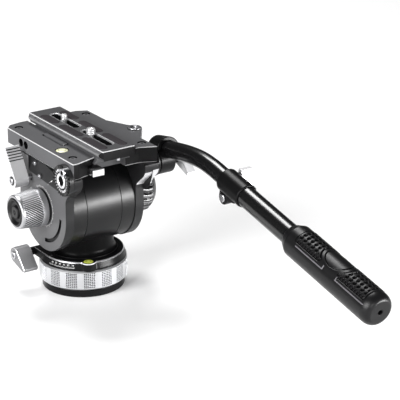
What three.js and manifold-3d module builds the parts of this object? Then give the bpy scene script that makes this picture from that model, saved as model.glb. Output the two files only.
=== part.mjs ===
import * as THREE from "three";
import { mergeVertices } from "three/addons/utils/BufferGeometryUtils.js";
import Module from "manifold-3d";

// A fluid video head: a flat base with a clamp ring, a drum that pans and tilts, a sliding camera plate and a
// telescopic pan bar. Millimetres, +Z up, +Y towards the lens, +X to the operator's right, and the origin at the
// mouth of the tripod socket in the middle of the underside.

// Clearances and facets
const gap = 0.3;
const overrun = 3;
const weld = 0.001;
const fine = 40;
const medium = 24;
const coarse = 12;
const quarterTurn = Math.PI / 2;

// Base plate, thread insert and clamp ring
const baseRadius = 41;
const baseThickness = 8;
const edgeChamfer = 0.8;
const cornerCut = 5.6;
const hubRadius = 33.5;
const hubBoreRadius = 24;
const socketRadius = 4.76;
const insertRadius = 8;
const insertFlangeRadius = 11;
const insertFlangeThickness = 2;
const ringRadius = 43.4;
const ringHeight = 20.2;
const ringChamfer = 1.4;
const gripDepth = 0.7;
const gripMargin = 2.4;
const gripCount = 15;

// Pan base with its level boss and lock lug
const panBaseRadius = 43;
const panBaseTopRadius = 40.6;
const panBaseHeight = 8.4;
const panBaseFloor = 2.3;
const panBaseRim = 1.4;
const panCavityRadius = 31;
const panShaftRadius = 8;
const panShaftCover = 1.5;
const panShaftDrop = 9;
const panNutRadius = 14;
const panNutHeight = 5.5;
const panDiscThickness = 2.2;
const panDiscInner = 10;
const bearingInner = 18;
const bearingGroove = 1;
const bossOffset = 38.3;
const bossRadius = 7;
const bossAzimuth = -1.962;
const baseVialRadius = 5;
const baseVialHeight = 3;
const lugRadius = 4.1;
const lugY = 26.8;
const lugInnerX = 28;
const lugOuterX = 45;
const lugBlockRear = 3;
const lugBlockFront = 28.5;

// Neck and drum
const neckFootRadius = 34.5;
const neckFootHeight = 1.6;
const neckWaistRadius = 30.5;
const neckRise = 4.5;
const drumLift = 8.3;
const drumRadius = 44.2;
const drumHalfWidth = 34;
const drumMiddleHalf = 19.1;
const drumWall = 6;
const drumPocketDepth = 11;
const drumEdge = 0.7;
const axleRadius = 7;
const axleLeftEnd = 68;
const axleRightEnd = 70;
const statorWall = 2;
const finThickness = 2.4;
const rotorFinRadius = 15;
const springInner = 14;
const springThickness = 1.6;
const springWidth = 16;
const springTurns = 4;
const springSteps = 14;
const arborRadius = 12;

// Tilt cradle
const sidePlateThickness = 9.4;
const sidePlateMargin = 1;
const platformLift = 0.5;
const cheekLift = 0.484;
const cheekFront = 50;
const cheekBend = 5;
const armEndRadius = 15;
const armAngle = 0.877;
const shoulderFrontY = 8;
const shoulderRearY = -24;
const shoulderDrop = 6.9;
const bevelDepth = 4;
const bevelHeight = 17.4;
const bevelFront = 26;
const bevelRear = -31;
const grooveRadius = 34.4;
const grooveWidth = 3.6;
const grooveDepth = 1.2;
const grooveStart = -3.04;
const grooveEnd = -1.64;
const platformThickness = 15.9;
const platformLeft = 43.3;
const platformRight = 50.3;
const platformRear = 60.5;
const platformFront = 76.6;
const platformNotch = 53.6;
const platformSideFront = 68;
const platformRightFront = 71;
const rearCut = 16.8;
const frontCut = 11.2;
const frontRound = 19;
const frontBow = 2.4;
const plateX = 1;
const channelHalf = 17.1;
const channelUndercut = 2.6;
const channelFloor = 9.6;
const channelLip = 1.6;
const bedRear = 44;
const earReachX = 68.4;
const earY = -3.5;
const earRearY = -30.6;
const earFrontY = 33;
const earThickness = 5;
const accessoryX = 59.5;
const accessoryRadius = 7;
const accessoryBarrel = 5;
const accessoryBore = 3.2;
const accessoryRim = 1.3;
const platformVialX = -31.3;
const platformVialY = -19.2;
const platformVialRadius = 6;
const platformVialHeight = 4.5;
const vialStand = 0.3;
const portRadius = 3.8;
const portDepth = 9;
const portNearY = 31;
const portPitch = 9.5;
const portDrop = 7.5;
const platformScrewX = 33.6;
const platformScrewRight = 43;
const platformScrewRearY = -43.5;
const platformScrewFrontY = 62;
const platformScrewRadius = 4;
const platformScrewDepth = 2.4;

// Rosettes on both sides
const rosetteY = -48;
const rosetteDrop = 2.4;
const rosetteRadius = 15.3;
const rosetteThickness = 6;
const rightRosetteThickness = 2.6;
const rosetteBore = 4.5;
const rosetteRing = 8;
const toothDepth = 1.1;
const toothCount = 20;
const rosetteBossRadius = 12;
const rosetteScrewRadius = 4.2;
const rosetteScrewLength = 7.4;
const rosetteScrewY = -53;
const rosetteScrewRise = 9.7;
const rosetteScrewSocket = 2;
const plateScrewRadius = 2.4;
const plateScrewHeight = 1.6;
const plateScrewPlaces = [
  [16.1, 38.7],
  [3.8, 29.5],
];
const plateScrewNames = ["side_plate_screw_front", "side_plate_screw_rear"];

// Plate clamp: lever, pin and jaw
const clampY = 22.6;
const clampRise = 23;
const clampBoss = 7.4;
const clampLength = 33;
const clampTip = 2.6;
const clampWidth = 15;
const clampAngle = 1.19;
const clampStandoff = 5.5;
const pinRadius = 3;
const pinHeadRadius = 4;
const pinHeadHeight = 1.2;
const jawWidth = 3.9;
const jawRise = 1.4;
const jawRearY = -9;
const jawFrontY = 29;
const jawTravel = 1.5;

// Tilt lock and pan lock levers
const tiltLockY = 33;
const tiltLockRise = 22;
const tiltLockBoss = 7;
const tiltLockLength = 24;
const tiltLockTip = 4;
const tiltLockWidth = 13;
const tiltLockAngle = -1.05;
const tiltLockStandoff = 2;
const panLockBoss = 8;
const panLockLength = 22;
const panLockTip = 4;
const panLockWidth = 16;
const panLockAngle = -2.6;
const panLockStandoff = 2;
const panPinRadius = 2.3;

// Plate release button
const buttonX = -25;
const buttonWidth = 12.5;
const buttonRise = 6.6;
const buttonLift = 1.1;
const buttonRear = 66;
const buttonLength = 20;
const buttonTravel = 4;
const buttonPocketEnd = 40;
const buttonSpringRadius = 2.1;
const buttonSpringLength = 14.4;
const buttonSpringWire = 0.7;

// Knobs on the tilt axis
const dragKnobInner = 46;
const dragKnobOuter = 74.5;
const dragKnobRadius = 19.2;
const dragKnobTip = 16.6;
const dragCapRadius = 13.8;
const dragCapDepth = 4;
const dragCapDish = 7;
const dragCollarRadius = 16;
const balanceKnobInner = 46;
const balanceKnobRibEnd = 66.5;
const balanceKnobOuter = 73;
const balanceKnobRadius = 26.2;
const balanceKnobTip = 21.5;
const balanceRibHeight = 1.1;
const balanceRibCount = 20;
const balanceCapRadius = 12;
const balanceCapDepth = 3;

// Camera plate, pads and camera screws
const cameraPlateRear = 70.5;
const cameraPlateFront = 71.5;
const cameraPlateThickness = 9.7;
const cameraPlateTopHalf = 17.8;
const cameraPlateRidgeHalf = 20.4;
const ridgeTopDrop = 3.4;
const ridgeBottomDrop = 5;
const ridgeUnderDrop = 8.4;
const cameraPlateCorner = 3.5;
const footRear = 58;
const footFront = 60;
const slotHalf = 3.4;
const slotInner = 6;
const slotFront = 54;
const slotRear = 55.5;
const recessHalf = 7.6;
const recessMargin = 3.5;
const slabThickness = 7.4;
const padOffset = 10.9;
const padHalf = 4.2;
const padRise = 0.5;
const padDepth = 0.9;
const padStretches = [
  ["front", 27, 56],
  ["middle", -19, 19.5],
  ["rear", -63.5, -25],
];
const quarterY = 32.5;
const quarterRadius = 3.1;
const threeEighthsY = -18.7;
const threeEighthsRadius = 4.7;
const screwRise = 5.6;
const screwHeadRadius = 5.6;
const screwHeadHeight = 3.6;
const carriageHalf = 7;
const carriageLength = 14;
const carriageHeight = 3;

// Pan bar: bracket, arm, collar, extension tube and grip
const barX = 66;
const hubFace = 70;
const bracketHubRadius = 14.5;
const boltRadius = 4;
const barrelRadius = 12.5;
const barrelRise = 9.3;
const barrelSlope = 0.192;
const barrelFrontLength = 13;
const barrelRearLength = 8;
const barrelSocket = 4.9;
const barLeverBoss = 7.5;
const barLeverLength = 25;
const barLeverTip = 3;
const barLeverWidth = 9.5;
const barLeverAngle = -2.54;
const barLeverSpacer = 8.4;
const armRadius = 8.5;
const armWall = 1.6;
const barSlope = 0.213;
const collarY = -154;
const collarRise = 10.5;
const collarRadius = 11.6;
const collarLength = 33;
const collarSeat = 8;
const lugHalf = 6.5;
const lugDrop = 21.5;
const lugPlace = 6.5;
const lugBore = 2.8;
const lugSlit = 1.2;
const tubeRadius = 10;
const tubeEnd = 220;
const armEnd = 104;
const gripStart = 104.5;
const gripEnd = 231.5;
const gripRadius = 15.8;
const gripNeckRadius = 11.8;
const gripTaper = 9;
const gripRounding = 9;
const gripEndWall = 6;
const gripHole = 2.6;
const collarLeverBoss = 7;
const collarLeverLength = 25;
const collarLeverTip = 5;
const collarLeverWidth = 12;
const collarLeverAngle = -0.15;
const armCurve = [
  [-63.3, 12.3],
  [-89.4, 16],
  [-112, 17.2],
  [-131, 15.3],
];
const armStraightY = -146;

const wasm = await Module();
wasm.setup();

const finish = (color, roughness, metalness) => new THREE.MeshStandardMaterial({ color, roughness, metalness });
const blackPaint = finish(0x1b1b1d, 0.45, 0.4);
const darkAnodised = finish(0x3a3a3e, 0.42, 0.6);
const satinAluminium = finish(0xd2d3d6, 0.32, 0.95);
const steel = finish(0xa8abb0, 0.3, 1);
const rubber = finish(0x2b2a2c, 0.85, 0);
const blackPlastic = finish(0x19191b, 0.6, 0);
const vial = finish(0xd6dc6a, 0.15, 0);

// A closed solid from a geometry: shared corners are merged, needles on the axis dropped, and faces turned outwards.
function solid(geometry) {
  const bare = new THREE.BufferGeometry();
  const loose = geometry.index ? geometry.toNonIndexed() : geometry;
  bare.setAttribute("position", loose.getAttribute("position"));
  const merged = mergeVertices(bare, weld);
  const corners = merged.index.array;
  const outward = [];
  const inward = [];
  for (let i = 0; i < corners.length; i += 3) {
    const [a, b, c] = corners.slice(i, i + 3);
    if (a === b || b === c || c === a) continue;
    outward.push(a, b, c);
    inward.push(a, c, b);
  }
  const vertProperties = merged.attributes.position.array;
  const build = (list) => {
    return new wasm.Manifold(new wasm.Mesh({ numProp: 3, vertProperties, triVerts: new Uint32Array(list) }));
  };
  const made = build(outward);
  return made.volume() < 0 ? build(inward) : made;
}

// A named mesh of a solid, added to its group.
function piece(group, name, shape, material) {
  const data = shape.getMesh();
  const geometry = new THREE.BufferGeometry();
  geometry.setAttribute("position", new THREE.BufferAttribute(data.vertProperties, data.numProp));
  geometry.setIndex(new THREE.BufferAttribute(data.triVerts, 1));
  geometry.computeVertexNormals();
  const mesh = new THREE.Mesh(geometry, material);
  mesh.name = name;
  group.add(mesh);
  return mesh;
}

// A turned geometry about Z from a closed profile of [radius, height] points.
function turned(points, segments = medium) {
  const profile = points.map(([r, h]) => new THREE.Vector2(r, h));
  profile.push(profile[0].clone());
  return new THREE.LatheGeometry(profile, segments).rotateX(quarterTurn);
}

// A turned solid about an axis along X through (y, z), from [radius, x] points.
function turnedX(points, y, z, segments = medium) {
  return solid(turned(points, segments).rotateY(quarterTurn).translate(0, y, z));
}

// A straight tube along X, or a rod where the inner radius is zero.
function tubeX(inner, outer, x0, x1, y, z, segments = medium) {
  return turnedX([[inner, x0], [outer, x0], [outer, x1], [inner, x1]], y, z, segments);
}

// A straight tube along Z at (x, y), or a rod where the inner radius is zero.
function tubeZ(inner, outer, z0, z1, x = 0, y = 0, segments = medium) {
  const profile = [[inner, z0], [outer, z0], [outer, z1], [inner, z1]];
  return solid(turned(profile, segments).translate(x, y, 0));
}

// A closed outline through points, with each corner rounded by the radius.
function outline(points, radius = 0) {
  const shape = new THREE.Shape();
  const corners = points.map(([u, v]) => new THREE.Vector2(u, v));
  if (radius === 0) return shape.setFromPoints(corners);
  corners.forEach((corner, i) => {
    const before = corners[(i + corners.length - 1) % corners.length];
    const after = corners[(i + 1) % corners.length];
    const start = corner.clone().add(before.clone().sub(corner).setLength(radius));
    const end = corner.clone().add(after.clone().sub(corner).setLength(radius));
    if (i === 0) shape.moveTo(start.x, start.y);
    else shape.lineTo(start.x, start.y);
    shape.quadraticCurveTo(corner.x, corner.y, end.x, end.y);
  });
  return shape;
}

const extrude = (shape, depth, curveSegments) => {
  return new THREE.ExtrudeGeometry(shape, { depth, bevelEnabled: false, curveSegments });
};

// Slabs with the outline in the XY, XZ or YZ plane, between two places on the third axis.
function slabZ(shape, z0, z1, curveSegments = 4) {
  return solid(extrude(shape, z1 - z0, curveSegments).translate(0, 0, z0));
}
function slabY(shape, y0, y1, curveSegments = 4) {
  return solid(extrude(shape, y1 - y0, curveSegments).rotateX(quarterTurn).translate(0, y1, 0));
}
function slabX(shape, x0, x1, curveSegments = 4) {
  const turn = new THREE.Matrix4().makeBasis(
    new THREE.Vector3(0, 1, 0),
    new THREE.Vector3(0, 0, 1),
    new THREE.Vector3(1, 0, 0),
  );
  return solid(extrude(shape, x1 - x0, curveSegments).applyMatrix4(turn).translate(x0, 0, 0));
}

function block(x0, x1, y0, y1, z0, z1) {
  const box = new THREE.BoxGeometry(x1 - x0, y1 - y0, z1 - z0);
  return solid(box.translate((x0 + x1) / 2, (y0 + y1) / 2, (z0 + z1) / 2));
}

// A slot outline along Y with round ends, for slots, pads and their pockets.
function stadium(x, y0, y1, half) {
  const shape = new THREE.Shape();
  shape.absarc(x, y1 - half, half, 0, Math.PI, false);
  shape.absarc(x, y0 + half, half, Math.PI, 2 * Math.PI, false);
  return shape;
}

// A wing lever on an axis along X: a round boss whose blade tapers to its tip, with a bore for its pin.
function wingLever(y, z, x0, x1, angle, boss, length, tip, bore) {
  const shape = new THREE.Shape();
  const shoulder = 0.47 * Math.PI;
  shape.absarc(0, 0, boss, shoulder, 2 * Math.PI - shoulder, false);
  shape.lineTo(length, -tip / 2);
  shape.lineTo(length, tip / 2);
  const blade = extrude(shape, x1 - x0, 10).rotateZ(angle);
  const turn = new THREE.Matrix4().makeBasis(
    new THREE.Vector3(0, 1, 0),
    new THREE.Vector3(0, 0, 1),
    new THREE.Vector3(1, 0, 0),
  );
  const lever = solid(blade.applyMatrix4(turn).translate(x0, y, z));
  return lever.subtract(tubeX(0, bore, x0 - overrun, x1 + overrun, y, z, coarse));
}

// A pin along X with a head at its outer end, side -1 towards the left and 1 towards the right.
function headedPin(radius, headRadius, inner, face, head, side, y, z) {
  const points = [
    [0, side * inner],
    [radius, side * inner],
    [radius, side * (face + gap)],
    [headRadius, side * (face + gap)],
    [headRadius, side * (face + gap + head)],
    [0, side * (face + gap + head)],
  ];
  return turnedX(points, y, z, coarse);
}

const head = new THREE.Group();
head.name = "video_head";
const base = new THREE.Group();
const panStage = new THREE.Group();
const cradle = new THREE.Group();
const cameraPlateGroup = new THREE.Group();
const bar = new THREE.Group();
head.add(base, panStage, cradle);
cradle.add(cameraPlateGroup, bar);

// Base plate: a disc with a tall hub that the clamp ring turns on.
const ringBottom = baseThickness + gap;
const hubTop = ringBottom + ringHeight;
const basePlate = solid(turned([
  [insertRadius + gap, 0],
  [baseRadius - edgeChamfer, 0],
  [baseRadius, edgeChamfer],
  [baseRadius, baseThickness - edgeChamfer],
  [baseRadius - edgeChamfer, baseThickness],
  [hubRadius, baseThickness],
  [hubRadius, hubTop],
  [hubBoreRadius, hubTop],
  [hubBoreRadius, baseThickness],
  [insertRadius + gap, baseThickness],
], fine));
piece(base, "base_plate", basePlate, blackPaint);

const insertTop = baseThickness + gap + insertFlangeThickness;
const insert = solid(turned([
  [socketRadius, 0],
  [insertRadius, 0],
  [insertRadius, baseThickness + gap],
  [insertFlangeRadius, baseThickness + gap],
  [insertFlangeRadius, insertTop],
  [socketRadius, insertTop],
]));
piece(base, "thread_insert", insert, steel);

// Clamp ring: chamfered, with raised grip panels spaced evenly round it.
let ring = solid(turned([
  [hubRadius + gap, ringBottom],
  [ringRadius - ringChamfer, ringBottom],
  [ringRadius, ringBottom + ringChamfer],
  [ringRadius, hubTop - ringChamfer],
  [ringRadius - ringChamfer, hubTop],
  [hubRadius + gap, hubTop],
], fine));
const gripPitch = (2 * Math.PI) / gripCount;
const gripFillShare = 0.62;
for (let i = 0; i < gripCount; i++) {
  const start = i * gripPitch;
  const panel = new THREE.Shape();
  panel.absarc(0, 0, ringRadius + gripDepth, start, start + gripFillShare * gripPitch, false);
  panel.absarc(0, 0, ringRadius - gripDepth, start + gripFillShare * gripPitch, start, true);
  ring = ring.add(slabZ(panel, ringBottom + gripMargin, hubTop - gripMargin, 3));
}
piece(base, "clamp_ring", ring, satinAluminium);

// Pan base: a shallow cup with a bulging level boss and a lug for the lock lever.
const panBaseBottom = hubTop + gap;
const panBaseTop = panBaseBottom + panBaseHeight;
const cavityFloor = panBaseBottom + panBaseFloor;
const bossX = bossOffset * Math.cos(bossAzimuth);
const bossY = bossOffset * Math.sin(bossAzimuth);
const vialBottom = panBaseTop - baseVialHeight;
const lugZ = panBaseBottom + lugRadius + gap;
const panBase = solid(turned([
  [panShaftRadius + gap, panBaseBottom],
  [panBaseRadius, panBaseBottom],
  [panBaseRadius, panBaseBottom + panBaseRim],
  [panBaseTopRadius, panBaseTop - edgeChamfer],
  [panBaseTopRadius - edgeChamfer, panBaseTop],
  [panCavityRadius, panBaseTop],
  [panCavityRadius, cavityFloor],
  [panShaftRadius + gap, cavityFloor],
], fine))
  .add(tubeZ(0, bossRadius, panBaseBottom, panBaseTop, bossX, bossY, coarse))
  .add(block(-panBaseTopRadius, -lugInnerX, -lugBlockRear, lugBlockFront, panBaseBottom, panBaseTop))
  .add(tubeX(0, lugRadius, -lugOuterX, -lugInnerX, lugY, lugZ, coarse))
  .subtract(tubeZ(0, panCavityRadius, cavityFloor, panBaseTop + overrun))
  .subtract(tubeZ(0, baseVialRadius + gap, vialBottom - gap, panBaseTop + overrun, bossX, bossY, coarse))
  .subtract(tubeX(0, panPinRadius + gap, -lugOuterX - overrun, -lugInnerX - overrun, lugY, lugZ, coarse));
piece(base, "pan_base", panBase, blackPaint);
const baseVial = tubeZ(0, baseVialRadius, vialBottom, panBaseTop - gap, bossX, bossY, coarse);
piece(base, "base_level_vial", baseVial, vial);

const discTop = cavityFloor + gap + panDiscThickness;
const cavityFit = panCavityRadius - gap;
piece(base, "pan_friction_disc", tubeZ(panDiscInner, cavityFit, cavityFloor + gap, discTop), steel);
const bearingMiddle = (discTop + gap + panBaseTop) / 2;
const bearing = solid(turned([
  [bearingInner, discTop + gap],
  [cavityFit, discTop + gap],
  [cavityFit, bearingMiddle - bearingGroove / 2],
  [cavityFit - bearingGroove, bearingMiddle],
  [cavityFit, bearingMiddle + bearingGroove / 2],
  [cavityFit, panBaseTop],
  [bearingInner, panBaseTop],
]));
piece(base, "pan_bearing", bearing, steel);

// Pan lock lever, on a screw that clamps the pan base.
const panLeverInner = lugOuterX + panLockStandoff;
const panLeverOuter = panLeverInner + panLockWidth;
const panLever = wingLever(
  lugY, lugZ, -panLeverOuter, -panLeverInner,
  panLockAngle, panLockBoss, panLockLength, panLockTip, panPinRadius + gap,
);
piece(base, "pan_lock_lever", panLever, darkAnodised);
const panScrewInner = lugInnerX + overrun + gap;
const panScrew = headedPin(panPinRadius, pinHeadRadius, panScrewInner, panLeverOuter, pinHeadHeight, -1, lugY, lugZ);
piece(base, "pan_lock_screw", panScrew, steel);

// Pan housing: the neck and the middle of the drum in one casting.
const neckBottom = panBaseTop + gap;
const tiltHeight = neckBottom + drumLift + drumRadius;
const drumPocketRadius = drumRadius - drumWall;
const neckTop = tiltHeight - drumPocketRadius / 2;
const drumMiddle = turnedX([
  [axleRadius + gap, -drumMiddleHalf + drumPocketDepth],
  [drumPocketRadius, -drumMiddleHalf + drumPocketDepth],
  [drumPocketRadius, -drumMiddleHalf],
  [drumRadius - drumEdge, -drumMiddleHalf],
  [drumRadius, -drumMiddleHalf + drumEdge],
  [drumRadius, drumMiddleHalf - drumEdge],
  [drumRadius - drumEdge, drumMiddleHalf],
  [drumPocketRadius, drumMiddleHalf],
  [drumPocketRadius, drumMiddleHalf - drumPocketDepth],
  [axleRadius + gap, drumMiddleHalf - drumPocketDepth],
], 0, tiltHeight, fine);
const neckFootTop = neckBottom + neckFootHeight;
const shaftTop = tiltHeight - drumPocketRadius - panShaftCover - gap;
const panHousing = solid(turned([
  [0, neckBottom],
  [neckFootRadius, neckBottom],
  [neckFootRadius, neckFootTop - edgeChamfer],
  [neckFootRadius - edgeChamfer, neckFootTop],
  [neckWaistRadius + neckFootHeight, neckFootTop + edgeChamfer],
  [neckWaistRadius, neckFootTop + neckRise],
  [neckWaistRadius, neckTop],
  [0, neckTop],
], fine))
  .subtract(tubeX(0, drumRadius + gap, drumMiddleHalf, drumHalfWidth + overrun, 0, tiltHeight, fine))
  .subtract(tubeX(0, drumRadius + gap, -drumHalfWidth - overrun, -drumMiddleHalf, 0, tiltHeight, fine))
  .subtract(tubeX(0, drumPocketRadius, -drumMiddleHalf - gap, drumMiddleHalf + gap, 0, tiltHeight, fine))
  .add(drumMiddle)
  .subtract(tubeZ(0, panShaftRadius + gap, neckBottom - overrun, shaftTop + gap));
piece(panStage, "pan_housing", panHousing, blackPaint);

const shaftBottom = panBaseBottom - panShaftDrop;
piece(panStage, "pan_shaft", tubeZ(0, panShaftRadius, shaftBottom, shaftTop, 0, 0, coarse), steel);
const nutTop = panBaseBottom - gap;
const panNut = tubeZ(panShaftRadius + gap, panNutRadius, nutTop - panNutHeight, nutTop, 0, 0, medium);
piece(panStage, "pan_shaft_nut", panNut, steel);

// Drum rings, one on each side of the housing.
function drumRing(side) {
  const inner = side * (drumMiddleHalf + gap);
  const outer = side * drumHalfWidth;
  return turnedX([
    [drumPocketRadius, inner],
    [drumRadius - drumEdge, inner],
    [drumRadius, inner + side * drumEdge],
    [drumRadius, outer - side * drumEdge],
    [drumRadius - drumEdge, outer],
    [drumPocketRadius, outer],
  ], 0, tiltHeight, fine);
}
piece(panStage, "left_drum_ring", drumRing(-1), blackPaint);
piece(panStage, "right_drum_ring", drumRing(1), blackPaint);
const axle = tubeX(0, axleRadius, -axleLeftEnd, axleRightEnd, 0, tiltHeight, coarse);
piece(panStage, "tilt_axle", axle, steel);

// Tilt drag: a finned stator cup fixed in the drum, and a finned rotor on the left side plate.
const pocketFloor = drumMiddleHalf - drumPocketDepth + gap;
const statorRadius = drumPocketRadius - gap;
const finRoot = pocketFloor + statorWall;
const rotorFace = drumHalfWidth - statorWall;
const rotorReach = finRoot + gap;
const finPitch = finThickness + 3 * gap;
const statorFinRadius = rotorFinRadius + finPitch;
const statorFinEnd = rotorFace - gap;
const stator = turnedX([
  [axleRadius + gap, -pocketFloor],
  [statorRadius, -pocketFloor],
  [statorRadius, -drumHalfWidth],
  [statorRadius - statorWall, -drumHalfWidth],
  [statorRadius - statorWall, -finRoot],
  [statorFinRadius + finThickness, -finRoot],
  [statorFinRadius + finThickness, -statorFinEnd],
  [statorFinRadius, -statorFinEnd],
  [statorFinRadius, -finRoot],
  [axleRadius + gap, -finRoot],
], 0, tiltHeight);
piece(panStage, "tilt_drag_stator", stator, steel);
const outerFinRadius = statorFinRadius + finPitch;
const rotor = turnedX([
  [axleRadius + gap, -drumHalfWidth],
  [statorRadius - statorWall - 2 * gap, -drumHalfWidth],
  [statorRadius - statorWall - 2 * gap, -rotorFace],
  [outerFinRadius + finThickness, -rotorFace],
  [outerFinRadius + finThickness, -rotorReach],
  [outerFinRadius, -rotorReach],
  [outerFinRadius, -rotorFace],
  [rotorFinRadius + finThickness, -rotorFace],
  [rotorFinRadius + finThickness, -rotorReach],
  [rotorFinRadius, -rotorReach],
  [rotorFinRadius, -rotorFace],
  [axleRadius + gap, -rotorFace],
], 0, tiltHeight);
piece(cradle, "tilt_drag_rotor", rotor, darkAnodised);

// Counterbalance: a flat spiral spring between the drum and an arbor on the right side plate.
const springOuter = drumPocketRadius - gap;
function spiral() {
  const outer = [];
  const inner = [];
  const steps = springTurns * springSteps;
  for (let i = 0; i <= steps; i++) {
    const angle = (2 * Math.PI * i) / springSteps;
    const radius = springInner + ((springOuter - springInner) * i) / steps;
    outer.push([radius * Math.cos(angle), radius * Math.sin(angle)]);
    inner.unshift([(radius - springThickness) * Math.cos(angle), (radius - springThickness) * Math.sin(angle)]);
  }
  return outline([...outer, ...inner].map(([u, v]) => [u, v + tiltHeight]));
}
const springStart = pocketFloor + statorWall;
const spring = slabX(spiral(), springStart, springStart + springWidth);
piece(panStage, "counterbalance_spring", spring, steel);
const arbor = tubeX(axleRadius + gap, arborRadius, pocketFloor, drumHalfWidth, 0, tiltHeight, coarse);
piece(cradle, "spring_arbor", arbor, darkAnodised);

// Side plates: discs round the tilt axis that rise into arms under the platform.
const plateInner = drumHalfWidth + gap;
const plateOuter = plateInner + sidePlateThickness;
const platformBottom = tiltHeight + drumRadius + platformLift;
const platformTop = platformBottom + platformThickness;
const cheekTop = platformBottom - gap;
const rosetteZ = cheekTop - rosetteDrop;
function cheekOutline() {
  const shape = new THREE.Shape();
  const rim = drumRadius + sidePlateMargin;
  const low = Math.asin((cheekTop - shoulderDrop - rosetteZ) / armEndRadius);
  const high = Math.asin((cheekTop - rosetteZ) / armEndRadius);
  const tangentY = rosetteY - armEndRadius * Math.cos(armAngle);
  const tangentZ = rosetteZ - armEndRadius * Math.sin(armAngle);
  const bendZ = tangentZ - (-rim - tangentY) / Math.tan(armAngle);
  shape.absarc(0, tiltHeight, rim, Math.PI, 2 * Math.PI + cheekLift, false);
  shape.lineTo(cheekFront, cheekTop);
  shape.lineTo(shoulderFrontY, cheekTop);
  shape.lineTo(shoulderRearY, cheekTop - shoulderDrop);
  shape.absarc(rosetteY, rosetteZ, armEndRadius, low, high, false);
  shape.absarc(rosetteY, rosetteZ, armEndRadius, Math.PI - high, Math.PI + armAngle, false);
  shape.lineTo(-rim - cheekBend * Math.sin(armAngle), bendZ + cheekBend * Math.cos(armAngle));
  shape.quadraticCurveTo(-rim, bendZ, -rim, bendZ - cheekBend);
  return shape;
}
function sidePlate(side) {
  const near = side < 0 ? -plateOuter : plateInner;
  const far = side < 0 ? -plateInner : plateOuter;
  const bevel = slabY(outline([
    [side * (plateOuter + overrun), cheekTop - bevelHeight],
    [side * plateOuter, cheekTop - bevelHeight],
    [side * (plateOuter - bevelDepth), cheekTop],
    [side * (plateOuter - bevelDepth), cheekTop + overrun],
    [side * (plateOuter + overrun), cheekTop + overrun],
  ]), bevelRear, bevelFront);
  return slabX(cheekOutline(), near, far, 12)
    .subtract(bevel)
    .subtract(tubeX(0, axleRadius + gap, near - overrun, far + overrun, 0, tiltHeight, coarse));
}

const clampZ = tiltHeight + clampRise;
const tiltLockZ = tiltHeight + tiltLockRise;
const rosetteScrewZ = rosetteZ + rosetteScrewRise;
const groove = new THREE.Shape();
groove.absarc(0, tiltHeight, grooveRadius + grooveWidth / 2, grooveStart, grooveEnd, false);
groove.absarc(0, tiltHeight, grooveRadius - grooveWidth / 2, grooveEnd, grooveStart, true);
const pinBore = pinRadius + gap;
const leftCut = slabX(groove, -plateOuter - overrun, -plateOuter + grooveDepth, 5)
  .add(tubeX(0, pinBore, -plateOuter - overrun, -plateInner + overrun, clampY, clampZ, coarse));
piece(cradle, "left_side_plate", sidePlate(-1).subtract(leftCut), blackPaint);
const bossBlock = block(
  plateInner, platformRight + overrun, rosetteY - rosetteRadius, rosetteY + rosetteRadius,
  rosetteZ - rosetteRadius, cheekTop,
);
const rosetteBoss = tubeX(0, rosetteBossRadius, plateOuter - gap, platformRight, rosetteY, rosetteZ)
  .intersect(bossBlock);
const rightCut = tubeX(0, pinBore, plateInner - overrun, plateOuter + overrun, tiltLockY, tiltLockZ, coarse);
piece(cradle, "right_side_plate", sidePlate(1).add(rosetteBoss).subtract(rightCut), blackPaint);

plateScrewPlaces.forEach(([y, rise], i) => {
  const climb = tiltHeight + rise - plateScrewRadius - cheekTop + bevelHeight;
  const seat = -plateOuter - gap + bevelDepth * Math.max(0, climb / bevelHeight);
  const screw = tubeX(0, plateScrewRadius, seat - plateScrewHeight, seat, y, tiltHeight + rise, coarse);
  piece(cradle, plateScrewNames[i], screw, steel);
});

// Platform: a block with a dovetail channel for the camera plate, and an ear on the right.
const platformOutline = outline([
  [-platformLeft, -platformRear + edgeChamfer],
  [-platformLeft + edgeChamfer, -platformRear],
  [-platformLeft + cornerCut, -platformRear],
  [plateX - channelHalf, -platformNotch],
  [plateX + channelHalf, -platformNotch],
  [platformRight - rearCut, -platformNotch],
  [platformRight, -platformRear],
  [platformRight, platformRightFront],
  [platformRight - frontCut, platformFront],
  [-platformLeft + frontRound, platformFront],
  [-platformLeft + cornerCut, platformFront - frontBow],
  [-platformLeft, platformSideFront],
]);
const ear = outline([
  [platformRight - cornerCut, earRearY],
  [platformRight, earRearY],
  [earReachX - cornerCut, (earRearY + 2 * earY) / 3],
  [earReachX, earY - edgeChamfer],
  [earReachX, earY + edgeChamfer],
  [(platformRight + earReachX) / 2, earFrontY / 3],
  [platformRight, earFrontY],
  [platformRight - cornerCut, earFrontY],
]);
const channelDeep = channelHalf + channelUndercut;
const channelBottom = platformBottom + channelFloor;
const channelShoulder = platformTop - channelLip;
const channel = outline([
  [plateX - channelDeep, channelBottom],
  [plateX + channelDeep, channelBottom],
  [plateX + channelDeep, channelShoulder - channelUndercut],
  [plateX + channelHalf, channelShoulder],
  [plateX + channelHalf, platformTop + overrun],
  [plateX - channelHalf, platformTop + overrun],
  [plateX - channelHalf, channelShoulder],
  [plateX - channelDeep, channelShoulder - channelUndercut],
]);
const jawRight = plateX - channelDeep - 4 * gap;
const jawLeft = jawRight - jawWidth;
const jawToeTop = channelShoulder - channelUndercut;
const buttonTop = platformBottom + buttonLift + buttonRise;
const vialTop = platformTop + vialStand;
const platformVialBottom = vialTop - platformVialHeight;
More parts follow.
